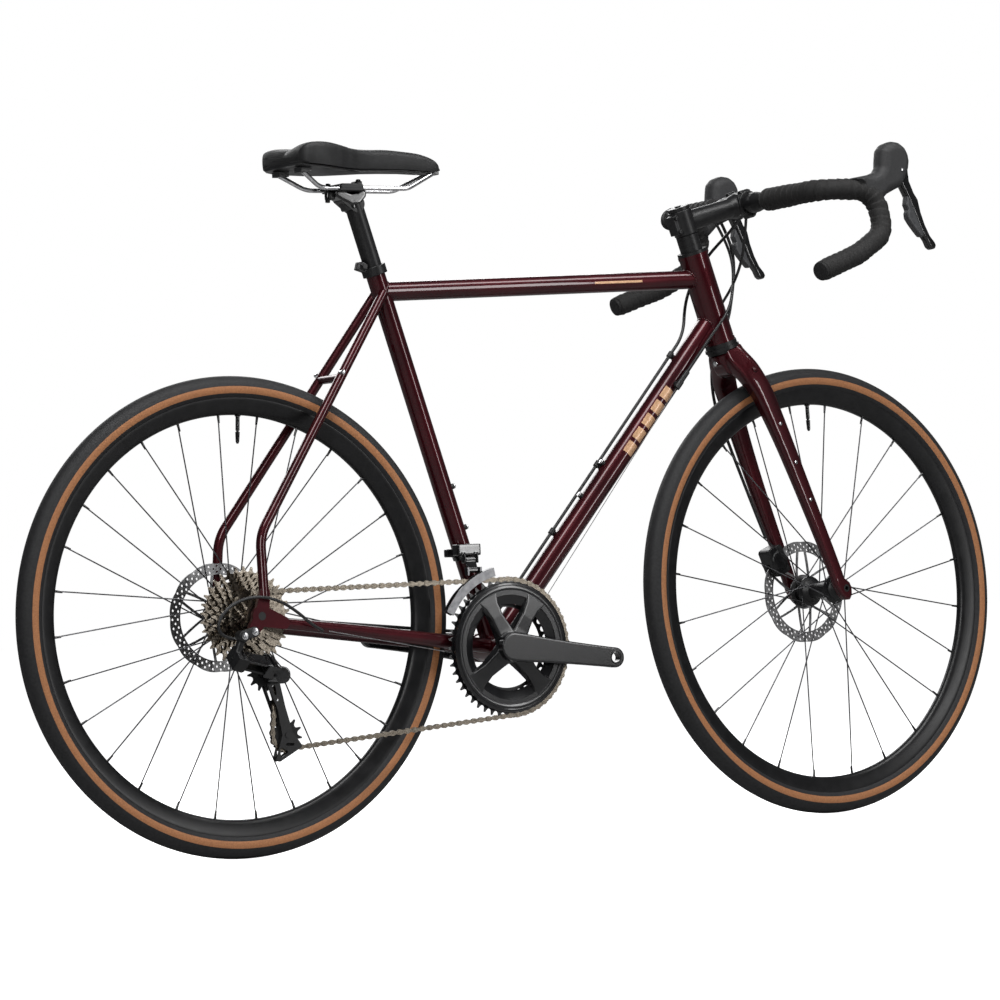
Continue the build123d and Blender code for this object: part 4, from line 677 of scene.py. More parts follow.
def wires():
    parts = []
    for side in (-1, 1):
        parts.append(bar(down_point(0.887, -5, side * 21.5), (-73, side * 7, 261), 0.6, sides=8))
    route = [(-108, -10, 262), (-150, -30, 277), (-200, -46, 284), (-410, -79, 322)]
    parts += [bar(start, end, 0.6, sides=8) for start, end in zip(route, route[1:])]
    joined("gear_wires", parts, STEEL, "frame", "steel")


wires()


# ---- stem ---------------------------------------------------------------------------
def axis_point(s, ahead=0.0, left=0.0):
    return Vector(FOOT / MM) + UP_AXIS * s + AHEAD * ahead + Vector((0, left, 0))


BAR_CENTRE = Vector((406.1, 0, 952.4))
STEM_CENTRE = axis_point(618)
REACH = (BAR_CENTRE - STEM_CENTRE).normalized()
STEM_UP = REACH.cross(Vector((0, 1, 0))) * -1
if STEM_UP.z < 0:
    STEM_UP = -STEM_UP


def stem():
    body = [bar(axis_point(598.6), axis_point(637.4), 18.4, sides=40),
            bar(STEM_CENTRE + REACH * 2, BAR_CENTRE - REACH * 17, 16.2, 15.4, 40),
            cross_bar(BAR_CENTRE, 21.5, 20.6, 40),
            bar(BAR_CENTRE - REACH * 26, BAR_CENTRE - REACH * 12, 16.2, 20, 40),
            block(STEM_CENTRE - AHEAD * 16.5, (14, 19, 30), AHEAD, UP_AXIS)]
    corners = [BAR_CENTRE + STEM_UP * (level * 18.2) + Vector((0, side * 14.5, 0)) for side in (-1, 1)
               for level in (-1, 1)]
    body += [bar(spot - REACH * 11, spot - REACH * 0.6, 4.6) for spot in corners]
    front = block(BAR_CENTRE + REACH * 29.4, (60, 80, 80), REACH, STEM_UP)
    bore = cross_bar(BAR_CENTRE, 40, 15.95, 64)
    made = forged("stem_body", body, SATIN, "steering", "black_metal", 0.9, 7, cuts=[front, bore],
                  place=STEER)
    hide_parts("stem")
    plate = [cross_bar(BAR_CENTRE, 21.5, 20.2, 40)]
    plate += [bar(spot + REACH * 0.6, spot + REACH * 7.5, 4.6) for spot in corners]
    rear = block(BAR_CENTRE - REACH * 29.4, (60, 80, 80), REACH, STEM_UP)
    window = block(BAR_CENTRE + REACH * 20, (14, 15, 16), REACH, STEM_UP)
    made = forged("stem_front_plate", plate, SATIN, "steering", "black_metal", 0.9, 7,
                  cuts=[rear, bore, window], place=STEER)
    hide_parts("stem_faceplate")
    bolts = [rounded_bar(spot + REACH * 6.5, spot + REACH * 10.2, 3.4, 0.6, socket=1.7) for spot in corners]
    for level in (-1, 1):
        spot = STEM_CENTRE - AHEAD * 18 + UP_AXIS * (level * 11)
        bolts.append(rounded_bar(spot + Vector((0, 8, 0)), spot + Vector((0, -13.2, 0)), 3.6, 0.6,
                                 socket=1.8))
    joined("stem_bolts", bolts, SATIN, "steering", "black_metal", place=STEER)


stem()


# ---- saddle -------------------------------------------------------------------------
LEATHER = plain_mix("saddle_black", grey(0.0085, 0.0088), grey(0.0150, 0.0155), 0.56, 0.0, 0.0, 55, 0.0,
                    spec=0.35)
SHELL_PLASTIC = plain_mix("saddle_shell", grey(0.006, 0.0065), grey(0.010, 0.0105), 0.40, 0.0, 0.2, 90, 0.1)


def leather_grain():
    nodes = LEATHER.node_tree
    bsdf = nodes.nodes["Principled BSDF"]
    coords = node(LEATHER, "ShaderNodeTexCoord")
    cells = node(LEATHER, "ShaderNodeTexVoronoi", Scale=900.0)
    link(LEATHER, coords, "Object", cells, "Vector")
    bump(LEATHER, bsdf, cells, 0.35, 0.0003, out="Distance")


leather_grain()
# saddle, nose to tail: x, half width, centre top, wing lift, skirt bottom, shoulder
SADDLE = [(-150, 6.0, 1004.0, 0, 998, 5), (-153, 12, 1008.5, 0, 995.5, 7), (-159, 16.0, 1012.5, 0, 994, 9),
          (-170, 18.5, 1017.0, 0, 993.5, 11), (-187, 20.0, 1021.4, 0, 994, 12),
          (-213, 21.5, 1024.2, 0, 995, 12), (-245, 24.5, 1026.2, 0, 995, 12),
          (-275, 29.0, 1025.5, 0.2, 994.5, 12), (-300, 36.5, 1025.0, 1.0, 993.5, 12),
          (-325, 48.5, 1024.6, 3.0, 993, 12.5), (-350, 61.0, 1024.6, 5.6, 993.5, 13),
          (-372, 69.0, 1025.0, 7.2, 995, 13), (-392, 71.5, 1025.0, 6.8, 996.5, 13),
          (-404, 69.0, 1023.5, 5.8, 998, 12), (-410, 64, 1020.5, 4.8, 1000, 10),
          (-413, 57, 1015.5, 3.6, 1003, 7)]


def saddle():
    keys = [[(-row[0], row[c]) for row in SADDLE] for c in range(1, 6)]
    stations, sides = 110, 72
    half = sides // 2
    verts = []
    for i in range(stations + 1):
        t = i / stations
        ease = 0.5 - 0.5 * math.cos(math.pi * t)
        x = 148 + 265 * (0.45 * t + 0.55 * ease)
        width, top, lift, bottom, shoulder = (smooth_between(k, x) for k in keys)
        tail = max(0.0, (x - 372) / 41)
        ring = []
        for k in range(half + 1):
            s = k / half
            if s <= 0.55:
                v = s / 0.55
                y = (width - shoulder * 0.35) * v
                z = top + lift * math.sin(min(v, 1.0) ** 1.6 * math.pi * 0.62) / math.sin(math.pi * 0.5)
                z -= (4.2 - 2.2 * min(lift / 6, 1)) * v ** 4 * (1 if lift < 3 else 0.8)
                y_edge, z_edge = y, z
            elif s <= 0.75:
                a = (s - 0.55) / 0.20 * math.pi / 2
                y = y_edge + shoulder * 0.42 * math.sin(a)
                z = z_edge - shoulder * 0.75 * (1 - math.cos(a))
                y_side, z_side = y, z
            elif s <= 0.93:
                f = (s - 0.75) / 0.18
                y = y_side - 1.6 * f * f + 0.5 * math.sin(f * math.pi)
                z = z_side + (bottom - z_side) * f
                y_low, z_low = y, z
            else:
                f = (s - 0.93) / 0.07
                y = y_low * (1 - f)
                z = z_low + 1.0 * math.sin(min(f * 4, 1) * math.pi / 2)
            channel = 1.8 * math.exp(-(y / 7.0) ** 2) * min(max((x - 225) / 50, 0), 1) if s <= 0.55 else 0.0
            curl = 5.0 * tail * tail * (1 - min(abs(y) / 60, 1)) ** 1.2
            ring.append((-x + curl, y, z - channel))
        ring_full = ring + [(p[0], -p[1], p[2]) for p in reversed(ring[1:-1])]
        verts += [Vector(p) * MM for p in ring_full]
    pad = add("saddle_cover", verts, skin(stations + 1, sides), LEATHER, "saddle", "saddle_cover", edge=80)
    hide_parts("saddle_pad")
    underside()


def underside():
    rows = [(x, half - 5.5, low - 2.5, low + 3.0) for x, half, _, _, low, _ in SADDLE[3:-1]]
    verts = []
    count = 24
    for x, half, low, high in rows:
        for k in range(count):
            a = 2 * math.pi * k / count
            flat = 0.0 if x > -330 else 6.0
            y = half * math.copysign(abs(math.cos(a)) ** 0.5, math.cos(a))
            z = (low + high) / 2 + (high - low) / 2 * math.copysign(abs(math.sin(a)) ** 0.6, math.sin(a))
            z += flat * (1 - (abs(y) / max(half, 1)) ** 2) * 0.3
            verts.append(Vector((x, y, z)) * MM)
    shell = add("saddle_shell", verts, skin(len(rows), count), SHELL_PLASTIC, "saddle", "black_plastic",
                edge=60)
    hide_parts("saddle_base")
    parts = []
    for side in (-1, 1):
        route = [(-158, side * 9, 994.5), (-214, side * 22, 968), (-362, side * 22, 968),
                 (-398, side * 36, 990.5)]
        parts.append(tube(bar_line(route, [34, 34], 2.0), 3.5, 20))
    joined("saddle_rails", parts, SILVER, "saddle", "silver")
    clips = [block((-162, 0, 993), (16, 26, 6)), block((-396, 34, 992), (18, 20, 8)),
             block((-396, -34, 992), (18, 20, 8))]
    forged("saddle_clips", clips, SHELL_PLASTIC, "saddle", "black_plastic", 1.0, 6)


saddle()


def seat_head():
    yoke = [prism([(-332, 957), (-321, 951), (-306, 945), (-291, 946), (-281, 956), (-279, 964), (-286, 968),
                   (-296, 962), (-306, 961), (-318, 966), (-332, 966)], -15, 15),
            bar((-300, 0, 938), (-304, 0, 952), 13.6, 14.4, 40)]
    forged("post_yoke", yoke, GLOSS, "post", "gloss_black", 0.9, 6, 2.0)
    clamp = [block((-311, 0, 965.5), (42, 56, 5)), block((-311, -22, 968.5), (38, 11, 10)),
             block((-311, 22, 968.5), (38, 11, 10)), block((-311, 0, 972.5), (34, 54, 4)),
             block((-334, 0, 958), (10, 16, 12)), block((-288, 0, 976), (10, 18, 8))]
    made = forged("rail_clamp", clamp, SATIN, "seat_cradle", "gloss_black", 0.9, 5, 1.2)
    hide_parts("saddle_clamp")
    bolts = [rounded_bar((-336, 0, 976), (-338, 0, 948), 3.6, 0.8, socket=1.8),
             rounded_bar((-286, 0, 962), (-285, 0, 983), 3.6, 0.8, socket=1.8),
             bar((-336.5, 0, 969), (-337.2, 0, 956), 5.0)]
    joined("rail_clamp_bolts", bolts, GLOSS, "seat_cradle", "black_metal")


seat_head()

# ---- crankset -----------------------------------------------------------------------
ARM_WAYS = [117, 56, -49, -142]
CRANK_WAY = math.radians(-7.7)


def around(x, z, y=0.0):
    """A point of the crank's side view, measured from the bottom bracket, in millimetres."""
    return Vector((SHELL.x + x, y, SHELL.z + z))


CRANK_LENGTH = 172.5
# the arm's half height at distances from the hub
ARM_EDGE = [(-6, 21), (20, 20.5), (45, 18.8), (80, 17.2), (120, 16.0), (160, 15.2), (CRANK_LENGTH, 15.2)]


def crank_arm(sign, y_face):
    """The arm from hub to pedal eye, tapering, with its outer face at y_face."""
    way = Vector((math.cos(CRANK_WAY), math.sin(CRANK_WAY))) * sign
    up = Vector((-way.y, way.x))
    outline = []
    for s, tall in ARM_EDGE:
        outline.append(way * s + up * tall)
    for k in range(1, 12):
        a = math.pi / 2 - math.pi * k / 12
        outline.append(way * (CRANK_LENGTH + 15.2 * math.cos(a)) + up * (15.2 * math.sin(a)))
    for s, tall in reversed(ARM_EDGE):
        outline.append(way * s - up * tall)
    for k in range(1, 10):
        a = -math.pi / 2 - math.pi * k / 10
        outline.append(way * (-6 + 21 * math.cos(a)) + up * (21 * math.sin(a)))
    return prism([(SHELL.x + p.x, SHELL.z + p.y) for p in outline], *y_face)


def crankset():
    arm = crank_arm(1, (-73.5, -60.5))
    parts = [arm, bar(around(0, 0, -62), around(0, 0, -46.5), 21.5, 23, 40)]
    for degrees in ARM_WAYS:
        a = math.radians(degrees)
        out = Vector((math.cos(a), 0, math.sin(a)))
        across = Vector((-math.sin(a), 0, math.cos(a)))
        ridge = []
        for r, wide, low, high in ((10, 19, -48, -62), (30, 16, -48, -60.5), (52, 13.5, -48.5, -57.5),
                                   (72, 17, -49, -56), (89, 29, -50, -54.9)):
            centre = around(0, 0) + out * r
            ridge.append([centre + across * wide + Vector((0, low, 0)),
                          centre + across * (wide * 0.72) + Vector((0, high, 0)),
                          centre - across * (wide * 0.72) + Vector((0, high, 0)),
                          centre - across * wide + Vector((0, low, 0))])
        verts = [p * MM for ring in ridge for p in ring]
        faces = [(0, 1, 2, 3), (19, 18, 17, 16)]
        for i in range(4):
            for k in range(4):
                p, q = i * 4 + k, i * 4 + (k + 1) % 4
                faces.append((q, p, p + 4, q + 4))
        parts.append((verts, faces))
    pedal = around(CRANK_LENGTH * math.cos(CRANK_WAY), CRANK_LENGTH * math.sin(CRANK_WAY))
    hole = bar(pedal + Vector((0, -90, 0)), pedal + Vector((0, -40, 0)), 7.3, sides=40)
    made = forged("crank_arm_right", parts, CHARCOAL, "crankset", "gloss_black", 0.9, 7, cuts=[hole])
    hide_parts("right_crank")
    lip = turned([(7.3, -73.0), (9.2, -73.0), (9.6, -73.7), (9.2, -74.0), (7.3, -74.0)], 48)
    lip = moved(lip, Matrix.Translation((pedal.x * MM, 0, pedal.z * MM)))
    add("pedal_eye_ring", *lip, CHARCOAL, "crankset", "gloss_black")
    left = crank_arm(-1, (60.5, 73.5))
    eye = around(-CRANK_LENGTH * math.cos(CRANK_WAY), -CRANK_LENGTH * math.sin(CRANK_WAY))
    hole = bar(eye + Vector((0, 40, 0)), eye + Vector((0, 90, 0)), 7.3, sides=40)
    made = forged("crank_arm_left", [left, bar(around(0, 0, 49), around(0, 0, 62), 19.5, 20.5, 40)], CHARCOAL,
                  "crankset", "gloss_black", 0.9, 7, 2.0, cuts=[hole])
    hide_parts("left_crank")
    spindle = cross_bar(SHELL, 60, 11.9, 40)
    cap = rounded_bar(around(0, 0, 70), around(0, 0, 75), 9.5, 1.0)
    joined("crank_spindle", [spindle, cap], SILVER, "crankset", "silver")
    profile = [(96.2, -49.6), (96.4, -54.0), (95.2, -55.6), (92.5, -56.2), (91.2, -55.4), (90.0, -55.6),
               (87.0, -56.0), (84.5, -55.2), (66.0, -50.4), (64.2, -49.4), (64.2, -48.2), (70, -48.0),
               (88, -49.4)]
    cover = moved(turned(profile, 240), Matrix.Translation((BB.x, 0, BB.z)))
    add("ring_cover", *cover, CHARCOAL, "crankset", "gloss_black", edge=35)


crankset()


# ---- small hardware -----------------------------------------------------------------
def hardware():
    silver = []
    for t in (0.485, 0.597):
        silver.append(rounded_bar(down_point(t, 20.2), down_point(t, 23.2), 4.0, 0.7, socket=1.6))
    for height in (461, 522):
        x = SHELL.x - (height - SHELL.z) / math.tan(SEAT)
        way = Vector((math.sin(SEAT), 0, math.cos(SEAT)))
        start = Vector((x, 0, height)) + way * 17.5
        silver.append(rounded_bar(start, start + way * 3.6, 4.0, 0.7, socket=1.6))
    joined("boss_bolts", silver, SILVER, "frame", "silver")


def weld(points):
    """A rippled fillet of weld along a closed line of points in metres."""
    count, radius, sides = len(points), 1.5, 8
    verts, faces = [], []
    for i, point in enumerate(points):
        tangent = (points[(i + 1) % count] - points[i - 1]).normalized()
        side = tangent.orthogonal().normalized()
        other = tangent.cross(side)
        swell = radius * (1 + 0.16 * math.sin(i * 2 * math.pi / 4))
        for k in range(sides):
            a = 2 * math.pi * k / sides
            verts.append(point + (side * math.cos(a) + other * math.sin(a)) * (swell * MM))
    for i in range(count):
        for k in range(sides):
            a, b = i * sides + k, i * sides + (k + 1) % sides
            c, d = ((i + 1) % count) * sides + (k + 1) % sides, ((i + 1) % count) * sides + k
            faces.append((a, b, c, d))
    return verts, faces


TOP_TUBE_R, DOWN_TUBE_R, HEAD_TUBE_R, SHELL_R = 14.3, 16.5, 23.0, 20.0


def joint_line(start, way, radius, centre, axis, other):
    """Where a tube from start along way meets a round tube: a loop of points in metres."""
    way, axis = way.normalized(), axis.normalized()
    side = way.cross(Vector((0, 1, 0))).normalized()
    up = Vector((0, 1, 0))
    points = []
    steps = 120
    for i in range(steps):
        a = 2 * math.pi * i / steps
        base = start + side * (radius * math.cos(a)) + up * (radius * math.sin(a))
        gap = base - centre
        flat = gap - axis * gap.dot(axis)
        slope = way - axis * way.dot(axis)
        p, q, r = slope.dot(slope), 2 * flat.dot(slope), flat.dot(flat) - other * other
        root = max(q * q - 4 * p * r, 0)
        reach = (-q - math.sqrt(root)) / (2 * p)
        points.append((base + way * reach) * MM)
    return points


def welds():
    seat_way = Vector((-math.cos(SEAT), 0, math.sin(SEAT)))
    across = Vector((0, 1, 0))
    top_rear, top_front = Vector((-235.5, 0, 817.6)), Vector((284.5, 0, 834.3))
    middle, top_way = (top_rear + top_front) / 2, top_front - top_rear
    down_middle = Vector(down_point(0.5))
    joints = [(middle, top_way, TOP_TUBE_R, axis_point(500), UP_AXIS, HEAD_TUBE_R),
              (middle, -top_way, TOP_TUBE_R, SHELL, seat_way, TOP_TUBE_R),
              (down_middle, DOWN_WAY, DOWN_TUBE_R, axis_point(450), UP_AXIS, HEAD_TUBE_R),
              (down_middle, -DOWN_WAY, DOWN_TUBE_R, SHELL, across, SHELL_R),
              (SHELL + seat_way * 200, -seat_way, TOP_TUBE_R, SHELL, across, SHELL_R)]
    parts = [weld(joint_line(*values)) for values in joints]
    joined("frame_welds", parts, PAINT, "frame", "frame_paint", edge=80)


# right fork blade: x, y, z, half depth, half thickness
BLADE = [(357, -6, 724, 19, 19), (359, -12, 714, 19.5, 18.5), (371.5, -27, 693, 19.5, 15),
         (379, -34.5, 677, 19, 13.4), (390, -40.5, 655, 18, 12), (415, -47.5, 592, 15.5, 9.6),
         (445, -52.5, 515, 13.5, 8.6), (482, -56, 422, 12, 7.6), (497, -56.6, 385, 11.6, 7.2),
         (509, -57, 352, 11.3, 7)]


def blade_at(z):
    """Centre and half sizes of the right fork blade at a height."""
    rows = sorted(BLADE, key=lambda row: row[2])
    return [smooth_between([(row[2], row[k]) for row in rows], z) for k in (0, 1, 3, 4)]


def fork():
    count, steps = 48, 64
    verts = []
    top, bottom = BLADE[0][2], BLADE[-1][2]
    heights = [top + (bottom - top) * i / steps for i in range(steps + 1)]
    spine = [Vector((*blade_at(z)[:2], z)) for z in heights]
    for i, centre in enumerate(spine):
        run = (spine[min(i + 1, steps)] - spine[max(i - 1, 0)]).normalized()
        across = Vector((0, 1, 0)).cross(run).normalized()
        out = run.cross(across)
        deep, thick = blade_at(centre.z)[2:]
        for k in range(count):
            a = 2 * math.pi * k / count
            u = math.copysign(abs(math.cos(a)) ** 0.62, math.cos(a)) * deep
            v = math.copysign(abs(math.sin(a)) ** 0.62, math.sin(a)) * thick
            verts.append((centre + across * u + out * v) * MM)
    leg = (verts, skin(steps + 1, count))
    tip = [(499, 362), (499, 350), (507, 338), (515, 330), (524, 330), (528, 337), (528.5, 349), (525, 357),
           (518, 362)]
    end = prism(tip, -64, -50)
    crown = bar(axis_point(391), axis_point(406.8), 21.8, 22.4, 64)
    arch = bar(axis_point(386, 0, -14), axis_point(386, 0, 14), 17.5, sides=48)
    hub = Vector((517.5, 0, 348))
    tyre_way, axle = cross_bar(hub, 27, 353, 160), cross_bar(hub, 80, 6.15, 48)
    made = forged("fork_blades", [leg, mirrored(leg), end, mirrored(end), crown, arch], PAINT, "steering",
                  "frame_paint", 1.5, 9, place=STEER, cuts=[tyre_way, axle])
    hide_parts("fork")
    bolts = []
    for z in (606, 546, 487.5):
        x, y, deep, thick = blade_at(z)
        for side in (-1, 1):
            bolts.append(rounded_bar((x, side * (abs(y) + thick - 1.5), z),
                                     (x, side * (abs(y) + thick + 1.9), z), 2.9, 0.6, socket=1.4))
    for side in (1, -1):
        bolts.append(rounded_bar(axis_point(396, side * 18), axis_point(396, side * 23.4), 4.2, 0.7,
                                 socket=2.0))
    joined("fork_bolts", bolts, SILVER, "steering", "silver", place=STEER)
    steerer = bar(axis_point(406.8), axis_point(640), 14.3, sides=48)
    add("fork_steerer", *steerer, SATIN, "steering", "black_metal", place=STEER)
    plugs = []
    for side in (-1, 1):
        x, y, deep, thick = blade_at(684.5)
        spot = Vector((x, side * abs(y), 684.5))
        way = Vector((0.0, side * 0.86, 0.51))
        plugs.append(rounded_bar(spot + way * (thick - 2), spot + way * (thick + 2.2), 4.6, 0.9))
    joined("fork_plugs", plugs, PAINT, "steering", "frame_paint", place=STEER)


def decals():
    """Plain gold bands: a block of five on the down tube and one on the top tube."""
    first, pitch, length = 0.655, 0.047, 0.035  # as parts of the down tube
    parts = []
    for k in range(5):
        low = first + pitch * k
        parts.append(band(down_point(low), down_point(low + length), DOWN_TUBE_R + 0.12, 62))
    parts.append(band((112, 0, 828.8), (198, 0, 831.5), TOP_TUBE_R + 0.12, 14))
    joined("gold_bands", parts, GOLD, "frame", "frame_paint")


def band(start, end, radius, spread):
    """A thin raised patch on both flanks of a tube, spread degrees either side of level."""
    start, end = Vector(start), Vector(end)
    run = (end - start).normalized()
    out = Vector((0, -1, 0))
    up = run.cross(out).normalized()
    verts, faces = [], []
    steps = 14
    for side in (-1, 1):
        base = len(verts)
        for lift in (-0.15, 0.12):
            for place in (start, end):
                for k in range(steps + 1):
                    a = math.radians(spread) * (2 * k / steps - 1) * 0.5
                    way = out * (math.cos(a) * side) + up * math.sin(a)
                    verts.append((place + way * (radius + lift)) * MM)
        row = steps + 1
        for k in range(steps):
            a, b, c, d = base + k, base + k + 1, base + row + k + 1, base + row + k
            faces.append((a, b, c, d))
            faces.append((a + 2 * row, d + 2 * row, c + 2 * row, b + 2 * row))
            faces.append((a, a + 2 * row, b + 2 * row, b))
            faces.append((d, c, c + 2 * row, d + 2 * row))
        for k in (0, steps):
            a, d = base + k, base + row + k
            faces.append((a, d, d + 2 * row, a + 2 * row))
    return verts, faces


hardware()
welds()
fork()
decals()


# ---- chain, with waisted plates -----------------------------------------------------
PITCH = 12.7
RING_TEETH, COG_TEETH, PULLEY_TEETH = 50, 17, 11
CHAIN_MIDDLE = -47.0


class ToothedWheel:
    """A ring, cog or pulley in side view, and the way the chain runs round it."""

    def __init__(self, centre, teeth, sense):
        self.centre, self.teeth, self.sense = Vector(centre), teeth, sense
        self.radius = PITCH / 2 / math.sin(math.pi / teeth)

    def point(self, angle):
        return self.centre + Vector((math.cos(angle), math.sin(angle))) * self.radius


def contacts(first, second):
    """The angles at which a tangent chain leaves the first wheel and meets the second."""
    gap = second.centre - first.centre
    lean = math.asin((first.sense * first.radius - second.sense * second.radius) / gap.length)
    heading = math.atan2(gap.y, gap.x) + lean
    return heading - first.sense * math.pi / 2, heading - second.sense * math.pi / 2


def chain_pins():
    """Walk the chain round cog, ring, tension and guide pulleys, one pitch at a time."""
    place = {name: joint(name)["pos_m"] for name in ("crank_spin", "cassette_spin", "tension_pulley_spin",
                                                     "guide_pulley_spin")}
    flat = {name: (x / MM, z / MM) for name, (x, y, z) in place.items()}
    order = [ToothedWheel(flat["cassette_spin"], COG_TEETH, -1),
             ToothedWheel(flat["crank_spin"], RING_TEETH, -1),
             ToothedWheel(flat["tension_pulley_spin"], PULLEY_TEETH, -1),
             ToothedWheel(flat["guide_pulley_spin"], PULLEY_TEETH, 1)]
    first = contacts(order[0], order[1])[0]
    pins = [order[0].point(first)]
    for here, there in zip(order, order[1:] + order[:1]):
        meet = contacts(here, there)[1]
        last, closing = pins[-1], there is order[0]
        step = 2 * math.pi / there.teeth
        if closing:
            wrap = math.ceil((first - meet) / (there.sense * step) % there.teeth)
            meet = first - there.sense * step * wrap
            links = math.floor((there.point(meet) - last).length / PITCH + 0.5)
        else:
            links = math.floor((there.point(meet) - last).length / PITCH)
            for _ in range(12):
                meet += there.sense * (links * PITCH - (there.point(meet) - last).length) / there.radius
            following = order[(order.index(there) + 1) % 4]
            leave = contacts(there, following)[0]
            wrap = math.ceil(((leave - meet) * there.sense % (2 * math.pi)) / step) + 1
        pins += [last.lerp(there.point(meet), k / links) for k in range(1, links + 1)]
        pins += [there.point(meet + there.sense * k * step) for k in range(1, wrap)]
    return pins


def home_of(piece):
    """The name of the CAD body a node belongs to."""
    return next(name for name, empty in frame["bodies"].items() if empty == NODES[piece].parent)


def chain():
    """Outer and inner pairs of waisted plates between the pins of the CAD chain, with pins and rollers."""
    parts = []
    pins = chain_pins()
    for k, here in enumerate(pins):
        there = pins[(k + 1) % len(pins)]
        middle, run = (here + there) / 2, (there - here).normalized()
        up = Vector((-run.y, run.x))
        tall = 4.15
        outline = []
        for side in (1, -1):
            for step in range(9):
                a = math.radians(118 - 236 * step / 8) if side == 1 else math.radians(298 - 236 * step / 8)
                outline.append(middle + run * (6.35 * side + tall * math.cos(a)) + up * (tall * math.sin(a)))
            outline.append(middle + run * (side * 1.2) - up * (side * 2.35))
            outline.append(middle - run * (side * 1.2) - up * (side * 2.35))
        near, far = (1.1, 1.65) if k % 2 == 0 else (1.75, 2.3)
        for low, high in ((near, far), (-far, -near)):
            parts.append(prism([tuple(p) for p in outline], CHAIN_MIDDLE + low, CHAIN_MIDDLE + high))
        pin_at = Vector((here.x, CHAIN_MIDDLE, here.y))
        parts.append(cross_bar(pin_at, 2.6, 1.7, 12))
        parts.append(cross_bar(pin_at, 1.0, 3.6, 16))
    made = joined("chain_links", parts, CHAINSTEEL, home_of("chain"), "steel", edge=35)
    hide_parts("chain")


# ---- cast and forged small pieces ---------------------------------------------------
def softened(source, name, mats, grain, rounds):
    """A CAD piece with its edges melted as a casting's are."""
    piece = NODES[source]
    verts = [piece.matrix_world @ v.co for v in piece.data.vertices]
    faces = [tuple(face.vertices) for face in piece.data.polygons]
    made = forged(name, [(verts, faces)], mats, home_of(source), SLOT_OF[source], grain, rounds)
    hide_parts(source)


def small_castings():
    softened("rd_b_knuckle", "hanger_casting", SATIN, 0.9, 8)
    softened("rd_p_knuckle", "cage_casting", GLOSS, 0.9, 8)
    softened("rd_outer_link", "outer_link_cover", GLOSS, 0.8, 8)
    softened("fd_clamp", "mech_casting", GLOSS, 0.9, 14)
    softened("fd_link", "mech_link", GLOSS, 0.6, 5)
    softened("rear_caliper", "rear_caliper_casting", SATIN, 0.9, 8)
    softened("front_caliper", "front_caliper_casting", SATIN, 0.9, 8)
    softened("seat_clamp", "seat_collar", SATIN, 0.6, 5)
    bolts = []
    for x, z, reach, size in ((-533.0, 326.0, 84.6, 5.6), (-555.5, 320.6, 95.6, 5.2)):
        bolts.append(rounded_bar((x, -(reach - 3), z), (x, -(reach + 0.6), z), size, 0.8, socket=2.6))
    for side in (-1, 1):
        bolts.append(rounded_bar((-347, side * 33, 697), (-347, side * 42.5, 697), 3.4, 0.7, socket=1.6))
    joined("mech_bolts", bolts, SILVER, "frame", "silver")


chain()
small_castings()

# ---- floor, light and camera --------------------------------------------------------
CAMERA_PLACE = (-3.4900, -5.6030, 0.3729)
CAMERA_TURN = (-31.4405, -1.1504, -2.4928)  # azimuth, elevation and roll, in degrees
CAMERA_LENS = 158.099


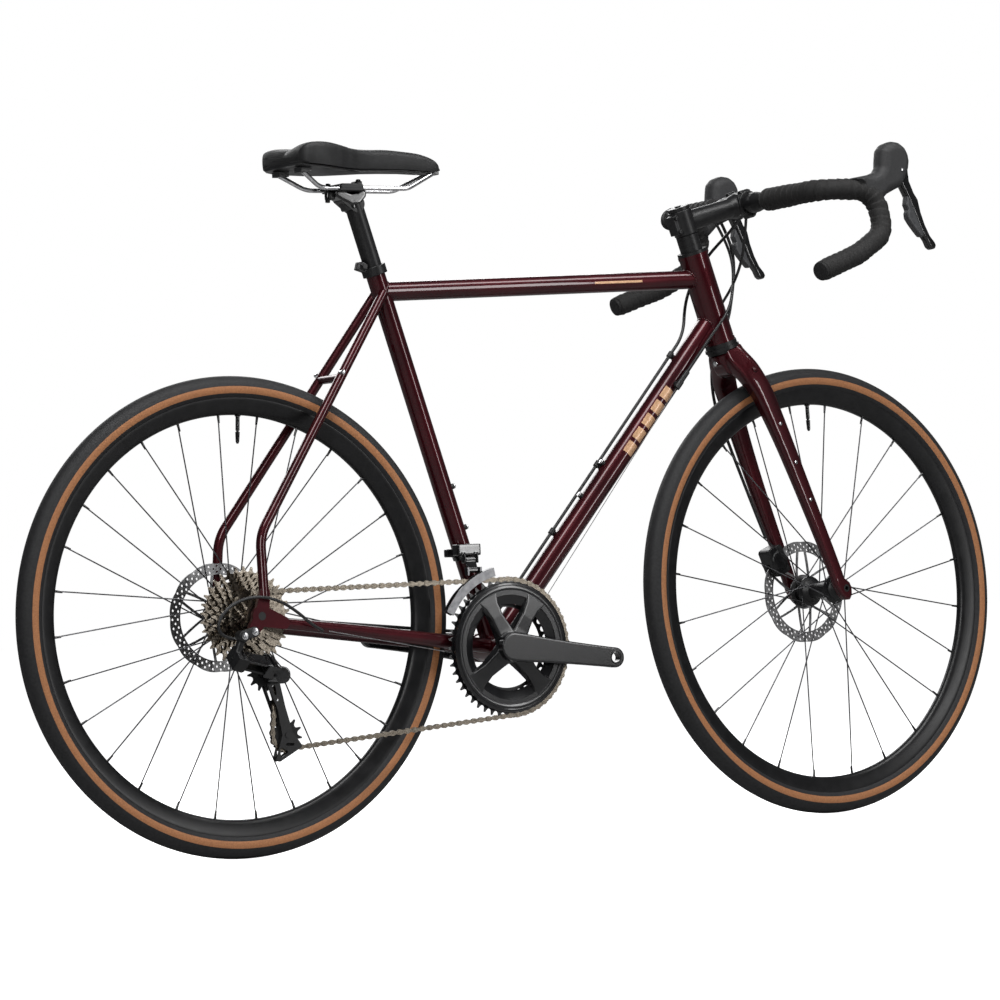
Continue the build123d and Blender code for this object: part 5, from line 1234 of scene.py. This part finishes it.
def studio():
    """A white sweep for the camera, with a dim room and soft boxes for the object."""
    bpy.ops.mesh.primitive_plane_add(size=60, location=(0, 0, -0.0005))
    floor = bpy.context.object
    floor.name = "floor"
    mat, bsdf = new_material("floor_white", (0.90, 0.90, 0.90), 0.95, spec=0.0)
    vary_color(mat, bsdf, noise(mat, 3.0), (0.895, 0.895, 0.895), (0.905, 0.905, 0.905))
    bsdf.inputs["Emission Color"].default_value = (1, 1, 1, 1)
    bsdf.inputs["Emission Strength"].default_value = 0.97
    dim = node(mat, "ShaderNodeBsdfDiffuse", Color=(0.35, 0.35, 0.35, 1))
    path = node(mat, "ShaderNodeLightPath")
    blend = node(mat, "ShaderNodeMixShader")
    out = mat.node_tree.nodes["Material Output"]
    link(mat, path, "Is Camera Ray", blend, "Fac")
    mat.node_tree.links.new(dim.outputs[0], blend.inputs[1])
    mat.node_tree.links.new(bsdf.outputs[0], blend.inputs[2])
    mat.node_tree.links.new(blend.outputs[0], out.inputs["Surface"])
    floor.data.materials.append(mat)
    world = bpy.data.worlds.new("studio")
    scene = bpy.context.scene
    scene.world = world
    scene.view_settings.view_transform = "Standard"
    world.use_nodes = True
    tree = world.node_tree
    room = tree.nodes["Background"]
    room.inputs["Color"].default_value = (0.93, 0.96, 1.0, 1)
    room.inputs["Strength"].default_value = 0.10
    sweep = tree.nodes.new("ShaderNodeBackground")
    sweep.inputs["Color"].default_value = (1, 1, 1, 1)
    sweep.inputs["Strength"].default_value = 1.0
    path = tree.nodes.new("ShaderNodeLightPath")
    blend = tree.nodes.new("ShaderNodeMixShader")
    tree.links.new(path.outputs["Is Camera Ray"], blend.inputs["Fac"])
    tree.links.new(room.outputs[0], blend.inputs[1])
    tree.links.new(sweep.outputs[0], blend.inputs[2])
    tree.links.new(blend.outputs[0], tree.nodes["World Output"].inputs["Surface"])

    def area(name, place, target, size, power):
        data = bpy.data.lights.new(name, "AREA")
        data.shape = "RECTANGLE"
        data.size, data.size_y = size
        data.energy = power
        lamp = bpy.data.objects.new(name, data)
        bpy.context.scene.collection.objects.link(lamp)
        lamp.location = place
        lamp.rotation_euler = (Vector(target) - Vector(place)).to_track_quat("-Z", "Y").to_euler()

    area("overhead", (0, -1.15, 2.9), (0, 0, 0.5), (4.2, 0.7), 105)
    area("key", (-3.4, -3.6, 2.2), (0, 0, 0.5), (1.1, 2.0), 85)
    area("fill", (2.6, -4.4, 1.5), (0, 0, 0.5), (0.6, 2.2), 60)
    area("back", (0.6, 3.4, 2.4), (0, 0, 0.5), (3.6, 1.2), 70)


def camera():
    data = bpy.data.cameras.new("camera")
    data.sensor_width = 36
    data.lens = CAMERA_LENS
    data.clip_end = 100
    cam = bpy.data.objects.new("camera", data)
    bpy.context.scene.collection.objects.link(cam)
    a, e, r = (math.radians(v) for v in CAMERA_TURN)
    back = Vector((math.sin(a) * math.cos(e), -math.cos(a) * math.cos(e), math.sin(e)))
    forward = -back
    right = forward.cross(Vector((0, 0, 1))).normalized()
    up = right.cross(forward)
    right2 = right * math.cos(r) + up * math.sin(r)
    up2 = -right * math.sin(r) + up * math.cos(r)
    turn = Matrix((right2, up2, back)).transposed().to_4x4()
    cam.matrix_world = Matrix.Translation(CAMERA_PLACE) @ turn
    bpy.context.scene.camera = cam


studio()
camera()

bpy.context.view_layer.update()
